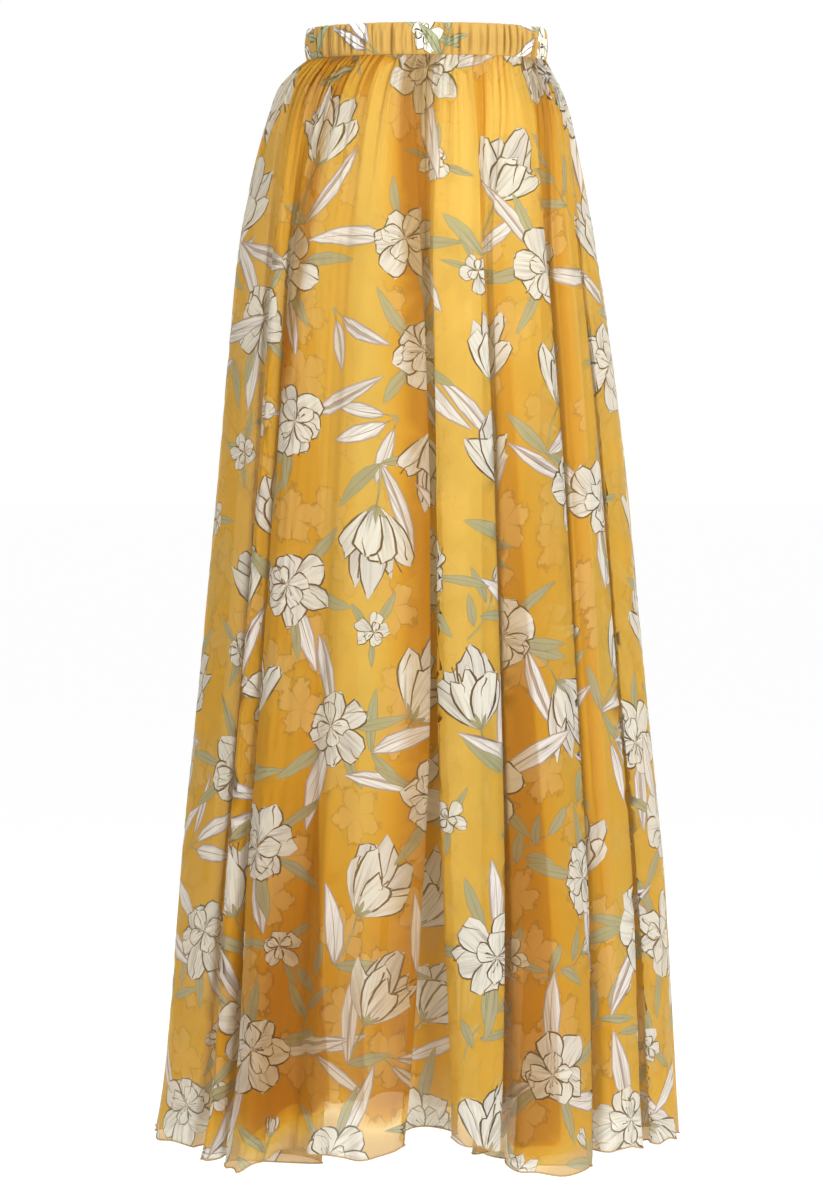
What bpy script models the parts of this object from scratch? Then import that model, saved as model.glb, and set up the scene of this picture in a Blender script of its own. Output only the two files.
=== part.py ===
"""A gathered maxi skirt: elastic waistband, sheer flared outer skirt in two panels, and a slip lining.

Metres, +Z up, front towards -Y. The origin is the middle of the waist, at half the waistband's height.
A bearing is an angle round the body in degrees: 0 is centre front, 90 the wearer's left side seam, which
is on the viewer's right, and 180 centre back. A drop is a distance below the waistband's top edge.
"""

from collections import namedtuple

import bpy
import numpy as np

# ---- sizes ------------------------------------------------------------------------------------------

BAND_HEIGHT = 0.028
BAND_PUCKERS = 52
PUCKER_DEPTH = 0.0007
PUCKER_RIPPLE = 0.0004
WAIST_HALF_WIDTH = 0.1086
WAIST_HALF_DEPTH = 0.0870

SEAM_GAP = 0.0003
SEAM_DROP = BAND_HEIGHT + SEAM_GAP
HEM_DROP = 1.023
LINING_DROP = 0.800

CHIFFON_WALL = 0.0010
HEM_ROLL_WALL = 0.0016
LINING_WALL = 0.0010

Section = namedtuple("Section", "drop half_width half_depth shift")
OUTER_SECTIONS = [
    Section(0.028, 0.1090, 0.0872, 0.0000),
    Section(0.036, 0.1150, 0.0915, -0.0030),
    Section(0.055, 0.1275, 0.1000, -0.0060),
    Section(0.080, 0.1390, 0.1085, -0.0070),
    Section(0.120, 0.1500, 0.1160, -0.0080),
    Section(0.190, 0.1640, 0.1275, -0.0080),
    Section(0.280, 0.1765, 0.1400, -0.0060),
    Section(0.420, 0.1920, 0.1555, -0.0040),
    Section(0.600, 0.2100, 0.1730, -0.0045),
    Section(0.780, 0.2290, 0.1910, -0.0055),
    Section(0.930, 0.2400, 0.2040, -0.0075),
    Section(1.023, 0.2490, 0.2120, -0.0120),
]
LINING_SECTIONS = [
    Section(0.028, 0.1068, 0.0852, 0.0000),
    Section(0.050, 0.1115, 0.0890, -0.0040),
    Section(0.080, 0.1200, 0.0945, -0.0070),
    Section(0.120, 0.1290, 0.1000, -0.0080),
    Section(0.200, 0.1390, 0.1085, -0.0075),
    Section(0.400, 0.1495, 0.1190, -0.0050),
    Section(0.600, 0.1585, 0.1290, -0.0050),
    Section(0.830, 0.1690, 0.1400, -0.0060),
]

# Each fold of a layer, in the order of its bearings. left and right are the edges of its face at the hem.
# The rest is for the trough after it: waist is the trough's bearing at the waist seam, and depth is how
# far behind the face it lies at the hem. narrows is how much narrower its mouth is half-way down.
# tuck_left and tuck_right are how far the cloth doubles back under the face at each edge. opens is the
# drop where the fold starts, and the rises lift the hem.
Fold = namedtuple(
    "Fold",
    "name left right waist depth narrows tuck_left tuck_right opens face_rise trough_rise",
)
OUTER_FOLDS = [
    Fold("right_side", -82.0, -57.0, -62.0, 0.036, 4.0, 2.0, 1.0, 0.06, 0.018, 0.014),
    Fold("right_pin", -51.0, -47.0, -44.0, 0.046, 1.0, 2.5, 0.0, 0.06, 0.008, 0.012),
    Fold("front_right_outer", -45.0, -34.0, -24.0, 0.018, 0.0, 24.0, 0.0, 0.04, 0.002, 0.024),
    Fold("front_right_inner", -22.0, -2.0, 2.5, 0.056, 8.0, 0.0, 4.0, 0.03, 0.019, 0.039),
    Fold("front_left_inner", 7.5, 19.0, 29.0, 0.044, 2.5, 5.0, 6.0, 0.04, 0.028, 0.016),
    Fold("front_left_outer", 22.5, 43.0, 58.0, 0.050, 2.0, 0.0, 20.0, 0.05, 0.001, 0.012),
    Fold("left_pin", 46.0, 58.5, 75.0, 0.034, 3.0, 0.0, 2.0, 0.06, 0.017, 0.016),
    Fold("left_side", 63.0, 82.0, 90.0, 0.040, 7.0, 6.0, 1.0, 0.06, 0.016, 0.022),
    Fold("back_left_edge", 94.0, 106.0, 112.0, 0.044, 4.0, 1.0, 10.0, 0.06, 0.008, 0.020),
    Fold("back_left_outer", 112.0, 131.0, 136.0, 0.052, 6.0, 2.0, 14.0, 0.05, 0.004, 0.022),
    Fold("back_left_inner", 139.0, 150.0, 158.0, 0.046, 5.0, 3.0, 4.0, 0.04, 0.012, 0.026),
    Fold("back_middle", 158.0, 180.0, 184.0, 0.054, 6.0, 15.0, 3.0, 0.03, 0.007, 0.028),
    Fold("back_right_inner", 189.0, 203.0, 209.0, 0.050, 5.0, 5.0, 4.0, 0.04, 0.012, 0.022),
    Fold("back_right_outer", 211.0, 231.0, 238.0, 0.052, 6.0, 18.0, 2.0, 0.05, 0.003, 0.018),
    Fold("back_right_edge", 240.0, 262.0, 270.0, 0.040, 8.0, 10.0, 1.0, 0.06, 0.010, 0.022),
]
LINING_FOLDS = [
    Fold("slip_right", -78.0, -58.0, -45.0, 0.009, 0.0, 0.0, 0.0, 0.08, 0.004, 0.000),
    Fold("slip_front_right", -34.0, -14.0, 0.0, 0.010, 0.0, 0.0, 0.0, 0.08, 0.000, 0.000),
    Fold("slip_front_left", 6.0, 26.0, 45.0, 0.009, 0.0, 0.0, 0.0, 0.08, -0.010, -0.014),
    Fold("slip_left", 50.0, 76.0, 90.0, 0.008, 0.0, 0.0, 0.0, 0.08, -0.006, 0.000),
    Fold("slip_back_left", 102.0, 124.0, 135.0, 0.009, 0.0, 0.0, 0.0, 0.08, 0.004, -0.004),
    Fold("slip_back_inner", 144.0, 168.0, 180.0, 0.010, 0.0, 0.0, 0.0, 0.08, 0.002, 0.000),
    Fold("slip_back_right", 190.0, 214.0, 225.0, 0.009, 0.0, 0.0, 0.0, 0.08, -0.006, -0.004),
    Fold("slip_back_edge", 236.0, 258.0, 270.0, 0.008, 0.0, 0.0, 0.0, 0.08, 0.003, 0.006),
]

# How far the gathers and the hem's ripples stand out, to each side of the cloth's mean.
Ripple = namedtuple("Ripple", "distance half_height")
GATHERS_BY_DROP = [
    Ripple(0.028, 0.0003),
    Ripple(0.036, 0.0013),
    Ripple(0.052, 0.0022),
    Ripple(0.085, 0.0016),
    Ripple(0.130, 0.0007),
    Ripple(0.200, 0.0000),
]
RIPPLES_ABOVE_HEM = [Ripple(0.000, 0.0030), Ripple(0.030, 0.0010), Ripple(0.060, 0.0000)]
GATHERS_PER_FOLD = 4

# Where the rows of points lie, as shares of the way from the waist seam to the hem, and the columns, as
# shares of the way across one fold.
OUTER_ROWS = [0.0, 0.010, 0.027, 0.057, 0.103, 0.172, 0.272, 0.400, 0.540, 0.690, 0.850, 0.962, 1.0]
OUTER_COLUMNS = [0.0, 0.07, 0.13, 0.18, 0.225, 0.27, 0.33, 0.41, 0.50, 0.59, 0.67, 0.73, 0.775, 0.82, 0.87, 0.93]
LINING_ROWS = [0.0, 0.030, 0.070, 0.130, 0.230, 0.480, 0.740, 1.0]
LINING_COLUMNS = [0.0, 0.15, 0.30, 0.50, 0.70, 0.85]

GOLD = (0.86, 0.49, 0.05, 1.0)
BAND_GOLD = (0.88, 0.55, 0.10, 1.0)
SLIP_YELLOW = (0.90, 0.60, 0.12, 1.0)


# ---- curves through the tables ----------------------------------------------------------------------


def smooth(x, xs, ys):
    """A curve through the points (xs, ys) that never overshoots them, read at x."""
    x = np.clip(x, xs[0], xs[-1])
    step = np.diff(xs)
    slope = np.diff(ys) / step
    tangent = np.zeros(len(xs))
    same_way = slope[1:] * slope[:-1] > 0
    weight_after = 2 * step[1:] + step[:-1]
    weight_before = step[1:] + 2 * step[:-1]
    safe_before = np.where(same_way, slope[:-1], 1.0)
    safe_after = np.where(same_way, slope[1:], 1.0)
    mean = (weight_after + weight_before) / (weight_after / safe_before + weight_before / safe_after)
    tangent[1:-1] = np.where(same_way, mean, 0.0)
    tangent[0] = slope[0]
    tangent[-1] = slope[-1]
    i = np.clip(np.searchsorted(xs, x, side="right") - 1, 0, len(step) - 1)
    t = (x - xs[i]) / step[i]
    return (
        ys[i] * (1 + 2 * t) * (1 - t) ** 2
        + step[i] * tangent[i] * t * (1 - t) ** 2
        + ys[i + 1] * t * t * (3 - 2 * t)
        + step[i] * tangent[i + 1] * t * t * (t - 1)
    )


def column(rows, name):
    return np.array([getattr(row, name) for row in rows], float)


# The bends of a fold: how far across the fold each one is, which of the face's edges it goes with, how
# far it is from that edge towards the middle of the trough, its share of the tuck, and of the depth.
Bend = namedtuple("Bend", "across side flank tuck depth")
BENDS = [
    Bend(0.00, "left", 1.00, 0.50, 1.00),
    Bend(0.08, "left", 0.80, 0.88, 0.94),
    Bend(0.13, "left", 0.60, 1.00, 0.79),
    Bend(0.18, "left", 0.40, 0.88, 0.62),
    Bend(0.27, "left", 0.00, 0.00, 0.30),
    Bend(0.50, "middle", 0.00, 0.00, 0.00),
    Bend(0.73, "right", 0.00, 0.00, 0.30),
    Bend(0.82, "right", 0.40, 0.88, 0.62),
    Bend(0.87, "right", 0.60, 1.00, 0.79),
    Bend(0.92, "right", 0.80, 0.88, 0.94),
]


class Drape:
    """The outside of a hanging layer: an oval that widens with drop, and folds that deepen with it.

    A turn is the place round the layer, counted in folds: fold i runs from the trough before it, at turn
    i, over the middle of its face, at i + 0.5, to the trough after it, at i + 1.
    """

    KNOTS = [bend.across for bend in BENDS]

    def __init__(self, sections, folds, hem_drop, gathered):
        self.sections = sections
        self.folds = folds
        self.hem_drop = hem_drop
        self.gathered = gathered
        left = column(folds, "left")
        right = column(folds, "right")
        right_before = np.roll(right, 1) - np.where(np.arange(len(folds)) == 0, 360.0, 0.0)
        left_after = np.roll(left, -1) + np.where(np.arange(len(folds)) == len(folds) - 1, 360.0, 0.0)
        tuck_left = column(folds, "tuck_left")
        tuck_right = column(folds, "tuck_right")
        depth = column(folds, "depth")
        narrows = column(folds, "narrows")
        middle = (left + right) / 2
        none = 0.0 * left
        self.bearings = []
        self.tucks = []
        self.insets = []
        self.narrowings = []
        for bend in BENDS:
            if bend.side == "left":
                self.bearings.append(left + (right_before - left) / 2 * bend.flank)
                self.insets.append(np.roll(depth, 1) * bend.depth)
                self.tucks.append(tuck_left * bend.tuck)
                self.narrowings.append(-np.roll(narrows, 1) / 2 * (1 - bend.flank))
            elif bend.side == "right":
                self.bearings.append(right + (left_after - right) / 2 * bend.flank)
                self.insets.append(depth * bend.depth)
                self.tucks.append(-tuck_right * bend.tuck)
                self.narrowings.append(narrows / 2 * (1 - bend.flank))
            else:
                self.bearings.append(middle)
                self.insets.append(none)
                self.tucks.append(none)
                self.narrowings.append(none)
        self.tucks[0] = (tuck_left - np.roll(tuck_right, 1)) * BENDS[0].tuck

    def around(self, turn, at_knots, per_round=0.0, knots=KNOTS):
        """Reads values that each fold gives at its knots, at any turn."""
        count = len(self.folds)
        turns = (np.arange(count)[:, None] + np.array(knots)[None, :]).ravel()
        values = np.stack(at_knots, axis=1).ravel()
        all_turns = np.concatenate([turns - count, turns, turns + count])
        all_values = np.concatenate([values - per_round, values, values + per_round])
        return smooth(turn, all_turns, all_values)

    def hem(self, turn):
        """The drop of the hem, which its folds lift unevenly."""
        trough = np.roll(column(self.folds, "trough_rise"), 1)
        face = column(self.folds, "face_rise")
        return self.hem_drop - self.around(turn, [trough, face], knots=[0.0, 0.5])

    def ripple(self, turn, drop):
        """How far the gathers and the hem's ripples push the cloth out."""
        phase = 2 * np.pi * GATHERS_PER_FOLD * turn
        per_round = 2 * np.pi * turn / len(self.folds)
        above = self.hem(turn) - drop
        gathers = smooth(drop, column(GATHERS_BY_DROP, "distance"), column(GATHERS_BY_DROP, "half_height"))
        ripples = smooth(above, column(RIPPLES_ABOVE_HEM, "distance"), column(RIPPLES_ABOVE_HEM, "half_height"))
        uneven_top = 0.75 + 0.25 * np.sin(19 * per_round + 1.0)
        uneven_hem = 0.65 + 0.35 * np.sin(11 * per_round + 2.0)
        return gathers * uneven_top * np.cos(phase) + ripples * uneven_hem * np.sin(phase)

    def point(self, turn, drop):
        """The point of the cloth at this turn and drop."""
        waist = column(self.folds, "waist")
        waist_before = np.roll(waist, 1) - np.where(np.arange(len(waist)) == 0, 360.0, 0.0)
        at_waist = self.around(turn, [waist_before], 360.0, [0.0])
        opens = self.around(turn, [column(self.folds, "opens")], 0.0, [0.5])
        open_share = np.clip((drop - opens) / (self.hem_drop - opens), 0.0, 1.1)
        spread = smooth(drop, np.array([0.028, 0.090, 0.200, 0.420]), np.array([0.0, 0.35, 0.80, 1.0]))
        tucked = smooth(open_share, np.array([0.08, 0.20, 0.45, 1.00]), np.array([0.0, 0.14, 0.54, 1.0]))
        narrowed = smooth(drop, np.array([0.028, 0.150, 0.550, 0.980]), np.array([0.0, 1.0, 1.0, 0.0]))
        at_hem = self.around(turn, self.bearings, 360.0) + self.around(turn, self.tucks) * tucked
        at_hem = at_hem + self.around(turn, self.narrowings) * narrowed
        angle = np.radians(at_waist + spread * (at_hem - at_waist))
        drops = column(self.sections, "drop")
        half_width = smooth(drop, drops, column(self.sections, "half_width"))
        half_depth = smooth(drop, drops, column(self.sections, "half_depth"))
        shift = smooth(drop, drops, column(self.sections, "shift"))
        out_x = np.sin(angle) / half_width
        out_y = -np.cos(angle) / half_depth
        length = np.hypot(out_x, out_y)
        out = -self.around(turn, self.insets) * open_share**0.62
        if self.gathered:
            out = out + self.ripple(turn, drop)
        x = shift + half_width * np.sin(angle) + out * out_x / length
        y = -half_depth * np.cos(angle) + out * out_y / length
        return np.stack([x, y, BAND_HEIGHT / 2 - drop + 0.0 * x], axis=-1)


# ---- solids -----------------------------------------------------------------------------------------


def material(name, colour, roughness):
    made = bpy.data.materials.new(name)
    made.use_nodes = True
    shader = made.node_tree.nodes["Principled BSDF"]
    shader.inputs["Base Color"].default_value = colour
    shader.inputs["Roughness"].default_value = roughness
    shader.inputs["Metallic"].default_value = 0.0
    made.diffuse_color = colour
    return made


def add_object(name, points, faces, finish):
    mesh = bpy.data.meshes.new(name)
    mesh.from_pydata([tuple(p) for p in points], [], faces)
    mesh.update()
    mesh.shade_smooth()
    mesh.materials.append(finish)
    made = bpy.data.objects.new(name, mesh)
    bpy.context.scene.collection.objects.link(made)
    return made


def unit(vectors):
    return vectors / np.linalg.norm(vectors, axis=-1, keepdims=True)


def tangents(grid, axis):
    """The direction of a grid of points along an axis: half-way between the steps on both sides."""
    steps = unit(np.diff(grid, axis=axis))
    first = np.take(steps, [0], axis=axis)
    last = np.take(steps, [-1], axis=axis)
    return unit(np.concatenate([first, steps], axis=axis) + np.concatenate([steps, last], axis=axis))


def outward(grid):
    """The unit normals of a grid of points, rows down and columns to the viewer's right at the front."""
    return unit(np.cross(tangents(grid, 0), tangents(grid, 1)))


def wall(name, outside, normals, thickness, finish):
    """A closed wall: the outside grid, the same grid moved in by thickness, and the four edges."""
    rows, columns = outside.shape[:2]
    inside = outside - normals * thickness
    points = np.concatenate([outside.reshape(-1, 3), inside.reshape(-1, 3)])
    layer = rows * columns
    faces = []
    for row in range(rows - 1):
        for col in range(columns - 1):
            a = row * columns + col
            b = a + columns
            faces.append((a, b, b + 1, a + 1))
            faces.append((layer + a, layer + a + 1, layer + b + 1, layer + b))
    for col in range(columns - 1):
        bottom = (rows - 1) * columns + col
        faces.append((col + 1, layer + col + 1, layer + col, col))
        faces.append((bottom, layer + bottom, layer + bottom + 1, bottom + 1))
    for row in range(rows - 1):
        left = row * columns
        right = left + columns - 1
        faces.append((left, layer + left, layer + left + columns, left + columns))
        faces.append((right, right + columns, layer + right + columns, layer + right))
    return add_object(name, points, faces, finish)


def panel(name, drape, first, last, rows, columns, thickness, hem_thickness, finish):
    """One cut panel of a layer, from fold first up to fold last, and from the waist seam to the hem."""
    inner = (np.arange(first, last)[:, None] + np.array(columns)[None, :]).ravel()
    turn = np.concatenate([[first + columns[-1] - 1], inner, [last, last + columns[1]]])[None, :]
    drop = SEAM_DROP + np.array(rows)[:, None] * (drape.hem(turn) - SEAM_DROP)
    outside = drape.point(turn + 0.0 * drop, drop)
    normals = outward(outside)[:, 1:-1]
    across = tangents(outside, 1)
    outside = outside[:, 1:-1]
    outside[:, 0] += across[:, 1] * SEAM_GAP / 2
    outside[:, -1] -= across[:, -2] * SEAM_GAP / 2
    wall_here = np.full(outside.shape[:2] + (1,), thickness)
    wall_here[-1] = hem_thickness
    return wall(name, outside, normals, wall_here, finish)


# The waistband's cross-section: how far out from the waist's oval, and how far above its middle.
Corner = namedtuple("Corner", "out up")
BAND_CORNERS = [
    Corner(-0.0004, -0.0140),
    Corner(0.0002, -0.0110),
    Corner(0.0006, 0.0000),
    Corner(0.0002, 0.0110),
    Corner(-0.0017, 0.0140),
    Corner(-0.0036, 0.0110),
    Corner(-0.0038, -0.0110),
    Corner(-0.0030, -0.0140),
]


def waistband(finish):
    """The elastic casing: one gathered ring, its cross-section turned round the waist's oval."""
    columns = BAND_PUCKERS * 4
    angle = 2 * np.pi * np.arange(columns) / columns
    phase = angle * BAND_PUCKERS
    out_x = np.sin(angle) / WAIST_HALF_WIDTH
    out_y = -np.cos(angle) / WAIST_HALF_DEPTH
    length = np.hypot(out_x, out_y)
    uneven = 0.7 + 0.3 * np.sin(phase * 0.31)
    rings = []
    for corner in BAND_CORNERS:
        pucker = PUCKER_DEPTH * uneven * np.cos(phase) * (1 if corner.out > -0.002 else -0.3)
        out = corner.out + pucker
        up = corner.up + PUCKER_RIPPLE * uneven * np.sin(phase) * (corner.up > 0.012)
        x = WAIST_HALF_WIDTH * np.sin(angle) + out * out_x / length
        y = -WAIST_HALF_DEPTH * np.cos(angle) + out * out_y / length
        rings.append(np.stack([x, y, up + 0.0 * x], axis=-1))
    points = np.concatenate(rings)
    faces = []
    for ring in range(len(rings)):
        above = (ring + 1) % len(rings)
        for col in range(columns):
            after = (col + 1) % columns
            faces.append(
                (ring * columns + col, ring * columns + after, above * columns + after, above * columns + col)
            )
    return add_object("waistband", points, faces, finish)


def main():
    for old in list(bpy.data.objects):
        bpy.data.objects.remove(old)
    chiffon = material("printed_chiffon", GOLD, 0.75)
    casing = material("gathered_casing", BAND_GOLD, 0.75)
    slip = material("slip_satin", SLIP_YELLOW, 0.45)

    waistband(casing)
    outer = Drape(OUTER_SECTIONS, OUTER_FOLDS, HEM_DROP, True)
    front = [fold.name for fold in OUTER_FOLDS].index("back_left_edge")
    shape = (OUTER_ROWS, OUTER_COLUMNS, CHIFFON_WALL, HEM_ROLL_WALL, chiffon)
    panel("outer_front", outer, 0, front, *shape)
    panel("outer_back", outer, front, len(OUTER_FOLDS), *shape)
    lining = Drape(LINING_SECTIONS, LINING_FOLDS, LINING_DROP, False)
    front = [fold.name for fold in LINING_FOLDS].index("slip_back_left")
    shape = (LINING_ROWS, LINING_COLUMNS, LINING_WALL, LINING_WALL, slip)
    panel("lining_front", lining, 0, front, *shape)
    panel("lining_back", lining, front, len(LINING_FOLDS), *shape)


main()
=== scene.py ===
"""The looks of a gathered maxi skirt: printed sheer panels over a satin slip, on an elastic waistband.

Metres, +Z up, front towards -Y, as the packed solids are. A bearing is an angle round the body in
degrees: 0 is centre front, 90 the wearer's left side seam and 180 centre back. A drop is a distance below
the waistband's top edge. A turn is the place round a layer, counted in folds.
"""

import math
import random
from collections import namedtuple

import bmesh
import bpy
import numpy as np
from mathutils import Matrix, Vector
from mathutils.bvhtree import BVHTree
from mathutils.geometry import delaunay_2d_cdt


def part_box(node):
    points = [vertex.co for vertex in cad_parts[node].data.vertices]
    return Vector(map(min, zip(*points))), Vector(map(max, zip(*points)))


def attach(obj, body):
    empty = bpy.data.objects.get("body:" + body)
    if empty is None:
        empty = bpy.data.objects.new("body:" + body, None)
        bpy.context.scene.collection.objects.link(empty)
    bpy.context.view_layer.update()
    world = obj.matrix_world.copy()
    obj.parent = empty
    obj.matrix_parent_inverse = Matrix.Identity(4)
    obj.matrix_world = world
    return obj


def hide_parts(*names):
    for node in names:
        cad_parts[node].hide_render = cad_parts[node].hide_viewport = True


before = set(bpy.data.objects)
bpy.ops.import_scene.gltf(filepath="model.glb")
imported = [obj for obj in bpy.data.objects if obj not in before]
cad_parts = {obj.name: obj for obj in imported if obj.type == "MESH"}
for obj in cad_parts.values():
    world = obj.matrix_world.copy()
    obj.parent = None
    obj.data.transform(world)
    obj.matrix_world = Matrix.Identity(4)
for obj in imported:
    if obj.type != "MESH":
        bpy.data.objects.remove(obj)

bl_info = {
    "name": "Printed Maxi Skirt",
    "version": (1, 0, 0),
    "blender": (4, 5, 0),
    "location": "3D View > Sidebar > Skirt",
    "description": "Dresses a gathered maxi skirt in printed chiffon, satin and stitching",
    "category": "Add Mesh",
}

TAU = 2 * np.pi
ROUND_DEGREES = 360.0


class Curve:
    """A smooth line through points, which never overshoots them."""

    def __init__(self, places, values):
        self.places = np.array(places, float)
        self.values = np.array(values, float)

    def at(self, x):
        xs, ys = self.places, self.values
        x = np.clip(x, xs[0], xs[-1])
        step = np.diff(xs)
        slope = np.diff(ys) / step
        tangent = np.zeros(len(xs))
        same_way = slope[1:] * slope[:-1] > 0
        weight_after = 2 * step[1:] + step[:-1]
        weight_before = step[1:] + 2 * step[:-1]
        safe_before = np.where(same_way, slope[:-1], 1.0)
        safe_after = np.where(same_way, slope[1:], 1.0)
        mean = (weight_after + weight_before) / (weight_after / safe_before + weight_before / safe_after)
        tangent[1:-1] = np.where(same_way, mean, 0.0)
        tangent[0] = slope[0]
        tangent[-1] = slope[-1]
        i = np.clip(np.searchsorted(xs, x, side="right") - 1, 0, len(step) - 1)
        t = (x - xs[i]) / step[i]
        return (
            ys[i] * (1 + 2 * t) * (1 - t) ** 2
            + step[i] * tangent[i] * t * (1 - t) ** 2
            + ys[i + 1] * t * t * (3 - 2 * t)
            + step[i] * tangent[i + 1] * t * t * (t - 1)
        )


def column(rows, name):
    return np.array([getattr(row, name) for row in rows], float)


def unit(vectors):
    return vectors / np.linalg.norm(vectors, axis=-1, keepdims=True).clip(1e-12)


def on_oval(angle, half_width, half_depth, out, shift=0.0):
    """The x and y of places round an oval, each moved straight out of it."""
    out_x, out_y = np.sin(angle) / half_width, -np.cos(angle) / half_depth
    length = np.hypot(out_x, out_y)
    x = shift + half_width * np.sin(angle) + out * out_x / length
    y = -half_depth * np.cos(angle) + out * out_y / length
    return x, y


def across_it(along):
    """The directions at right angles to these ones in the plane, to their left."""
    return unit(np.stack([-along[:, 1], along[:, 0]], axis=1))


# ---- the shape of the layers, as in the solids ----

BAND_HEIGHT = 0.028
WAIST_HALF_WIDTH = 0.1086
WAIST_HALF_DEPTH = 0.087
SEAM_GAP = 0.0003
SEAM_DROP = BAND_HEIGHT + SEAM_GAP
HEM_DROP = 1.023
LINING_DROP = 0.8
CLOTH_WALL = 0.001
# A fold's depth goes with this power of how far down it is, and so much fuller is gathered cloth at the hem.
DEEPENING = 0.62
FULLER_AT_HEM = 0.9
Section = namedtuple("Section", "drop half_width half_depth shift")
OUTER_SECTIONS = [Section(*row) for row in (
    (0.028, 0.109, 0.0872, 0.0), (0.036, 0.115, 0.0915, -0.003), (0.055, 0.1275, 0.1, -0.006),
    (0.08, 0.139, 0.1085, -0.007), (0.12, 0.15, 0.116, -0.008), (0.19, 0.164, 0.1275, -0.008),
    (0.28, 0.1765, 0.14, -0.006), (0.42, 0.192, 0.1555, -0.004), (0.6, 0.21, 0.173, -0.0045),
    (0.78, 0.229, 0.191, -0.0055), (0.93, 0.24, 0.204, -0.0075), (1.023, 0.249, 0.212, -0.012),
)]
LINING_SECTIONS = [Section(*row) for row in (
    (0.028, 0.1068, 0.0852, 0.0), (0.05, 0.1115, 0.089, -0.004), (0.08, 0.12, 0.0945, -0.007),
    (0.12, 0.129, 0.1, -0.008), (0.2, 0.139, 0.1085, -0.0075), (0.4, 0.1495, 0.119, -0.005),
    (0.6, 0.1585, 0.129, -0.005), (0.83, 0.169, 0.14, -0.006),
)]

# Each fold of a layer, in the order of its bearings. left and right are the edges of its face at the hem.
# The rest is for the trough after it: its bearing at the waist, and its depth at the hem. narrows is how
# much narrower its mouth is half-way down. tuck_left and tuck_right are how far the cloth doubles back
# under the face at each edge. opens is the drop where the fold starts, and the rises lift the hem.
Fold = namedtuple(
    "Fold",
    "name left right waist depth narrows tuck_left tuck_right opens face_rise trough_rise",
)
OUTER_FOLDS = [Fold(*row) for row in (
    ("right_side", -82.0, -57.0, -62.0, 0.036, 4.0, 2.0, 1.0, 0.06, 0.018, 0.014),
    ("right_pin", -51.0, -47.0, -44.0, 0.046, 1.0, 2.5, 0.0, 0.06, 0.008, 0.012),
    ("front_right_outer", -45.0, -34.0, -24.0, 0.018, 0.0, 24.0, 0.0, 0.04, 0.002, 0.024),
    ("front_right_inner", -22.0, -2.0, 2.5, 0.056, 8.0, 0.0, 4.0, 0.03, 0.019, 0.039),
    ("front_left_inner", 7.5, 19.0, 29.0, 0.044, 2.5, 5.0, 6.0, 0.04, 0.028, 0.016),
    ("front_left_outer", 22.5, 43.0, 58.0, 0.05, 2.0, 0.0, 20.0, 0.05, 0.001, 0.012),
    ("left_pin", 46.0, 58.5, 75.0, 0.034, 3.0, 0.0, 2.0, 0.06, 0.017, 0.016),
    ("left_side", 63.0, 82.0, 90.0, 0.04, 7.0, 6.0, 1.0, 0.06, 0.016, 0.022),
    ("back_left_edge", 94.0, 106.0, 112.0, 0.044, 4.0, 1.0, 10.0, 0.06, 0.008, 0.02),
    ("back_left_outer", 112.0, 131.0, 136.0, 0.052, 6.0, 2.0, 14.0, 0.05, 0.004, 0.022),
    ("back_left_inner", 139.0, 150.0, 158.0, 0.046, 5.0, 3.0, 4.0, 0.04, 0.012, 0.026),
    ("back_middle", 158.0, 180.0, 184.0, 0.054, 6.0, 15.0, 3.0, 0.03, 0.007, 0.028),
    ("back_right_inner", 189.0, 203.0, 209.0, 0.05, 5.0, 5.0, 4.0, 0.04, 0.012, 0.022),
    ("back_right_outer", 211.0, 231.0, 238.0, 0.052, 6.0, 18.0, 2.0, 0.05, 0.003, 0.018),
    ("back_right_edge", 240.0, 262.0, 270.0, 0.04, 8.0, 10.0, 1.0, 0.06, 0.01, 0.022),
)]
LINING_FOLDS = [Fold(*row[:5], 0.0, 0.0, 0.0, 0.08, *row[5:]) for row in (
    ("slip_right", -78.0, -58.0, -45.0, 0.009, 0.004, 0.0),
    ("slip_front_right", -34.0, -14.0, 0.0, 0.01, 0.0, 0.0),
    ("slip_front_left", 6.0, 26.0, 45.0, 0.009, -0.01, -0.014),
    ("slip_left", 50.0, 76.0, 90.0, 0.008, -0.006, 0.0),
    ("slip_back_left", 102.0, 124.0, 135.0, 0.009, 0.004, -0.004),
    ("slip_back_inner", 144.0, 168.0, 180.0, 0.01, 0.002, 0.0),
    ("slip_back_right", 190.0, 214.0, 225.0, 0.009, -0.006, -0.004),
    ("slip_back_edge", 236.0, 258.0, 270.0, 0.008, 0.003, 0.006),
)]

# How far small waves of the cloth stand out to each side of its mean, by drop or by height above the hem.
GATHERS_BY_DROP = Curve(
    (0.028, 0.036, 0.052, 0.085, 0.13, 0.2), (0.0003, 0.0013, 0.0022, 0.0016, 0.0007, 0.0)
)
RIPPLES_ABOVE_HEM = Curve((0.0, 0.03, 0.06), (0.003, 0.001, 0.0))
GATHERS_PER_FOLD = 4

# The finer ones, which only this script has.
FINE_BY_DROP = Curve((0.028, 0.034, 0.05, 0.08, 0.13, 0.22), (0.0006, 0.0017, 0.0019, 0.0014, 0.0007, 0.0))
FLUTTER_ABOVE_HEM = Curve((0.0, 0.018, 0.045, 0.09), (0.0026, 0.0015, 0.0005, 0.0))
SOFT_CREASES_BY_DROP = Curve((0.028, 0.11, 0.35, 0.75, 1.023), (0.0, 0.0005, 0.0007, 0.0009, 0.0006))
FINE_PER_FOLD = 7.0
FLUTTERS_PER_FOLD = 6.0
SOFT_CREASES_PER_FOLD = 3.0
EDGE_WAVES_PER_FOLD = 4.0
EDGE_WAVE = 0.0014

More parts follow.
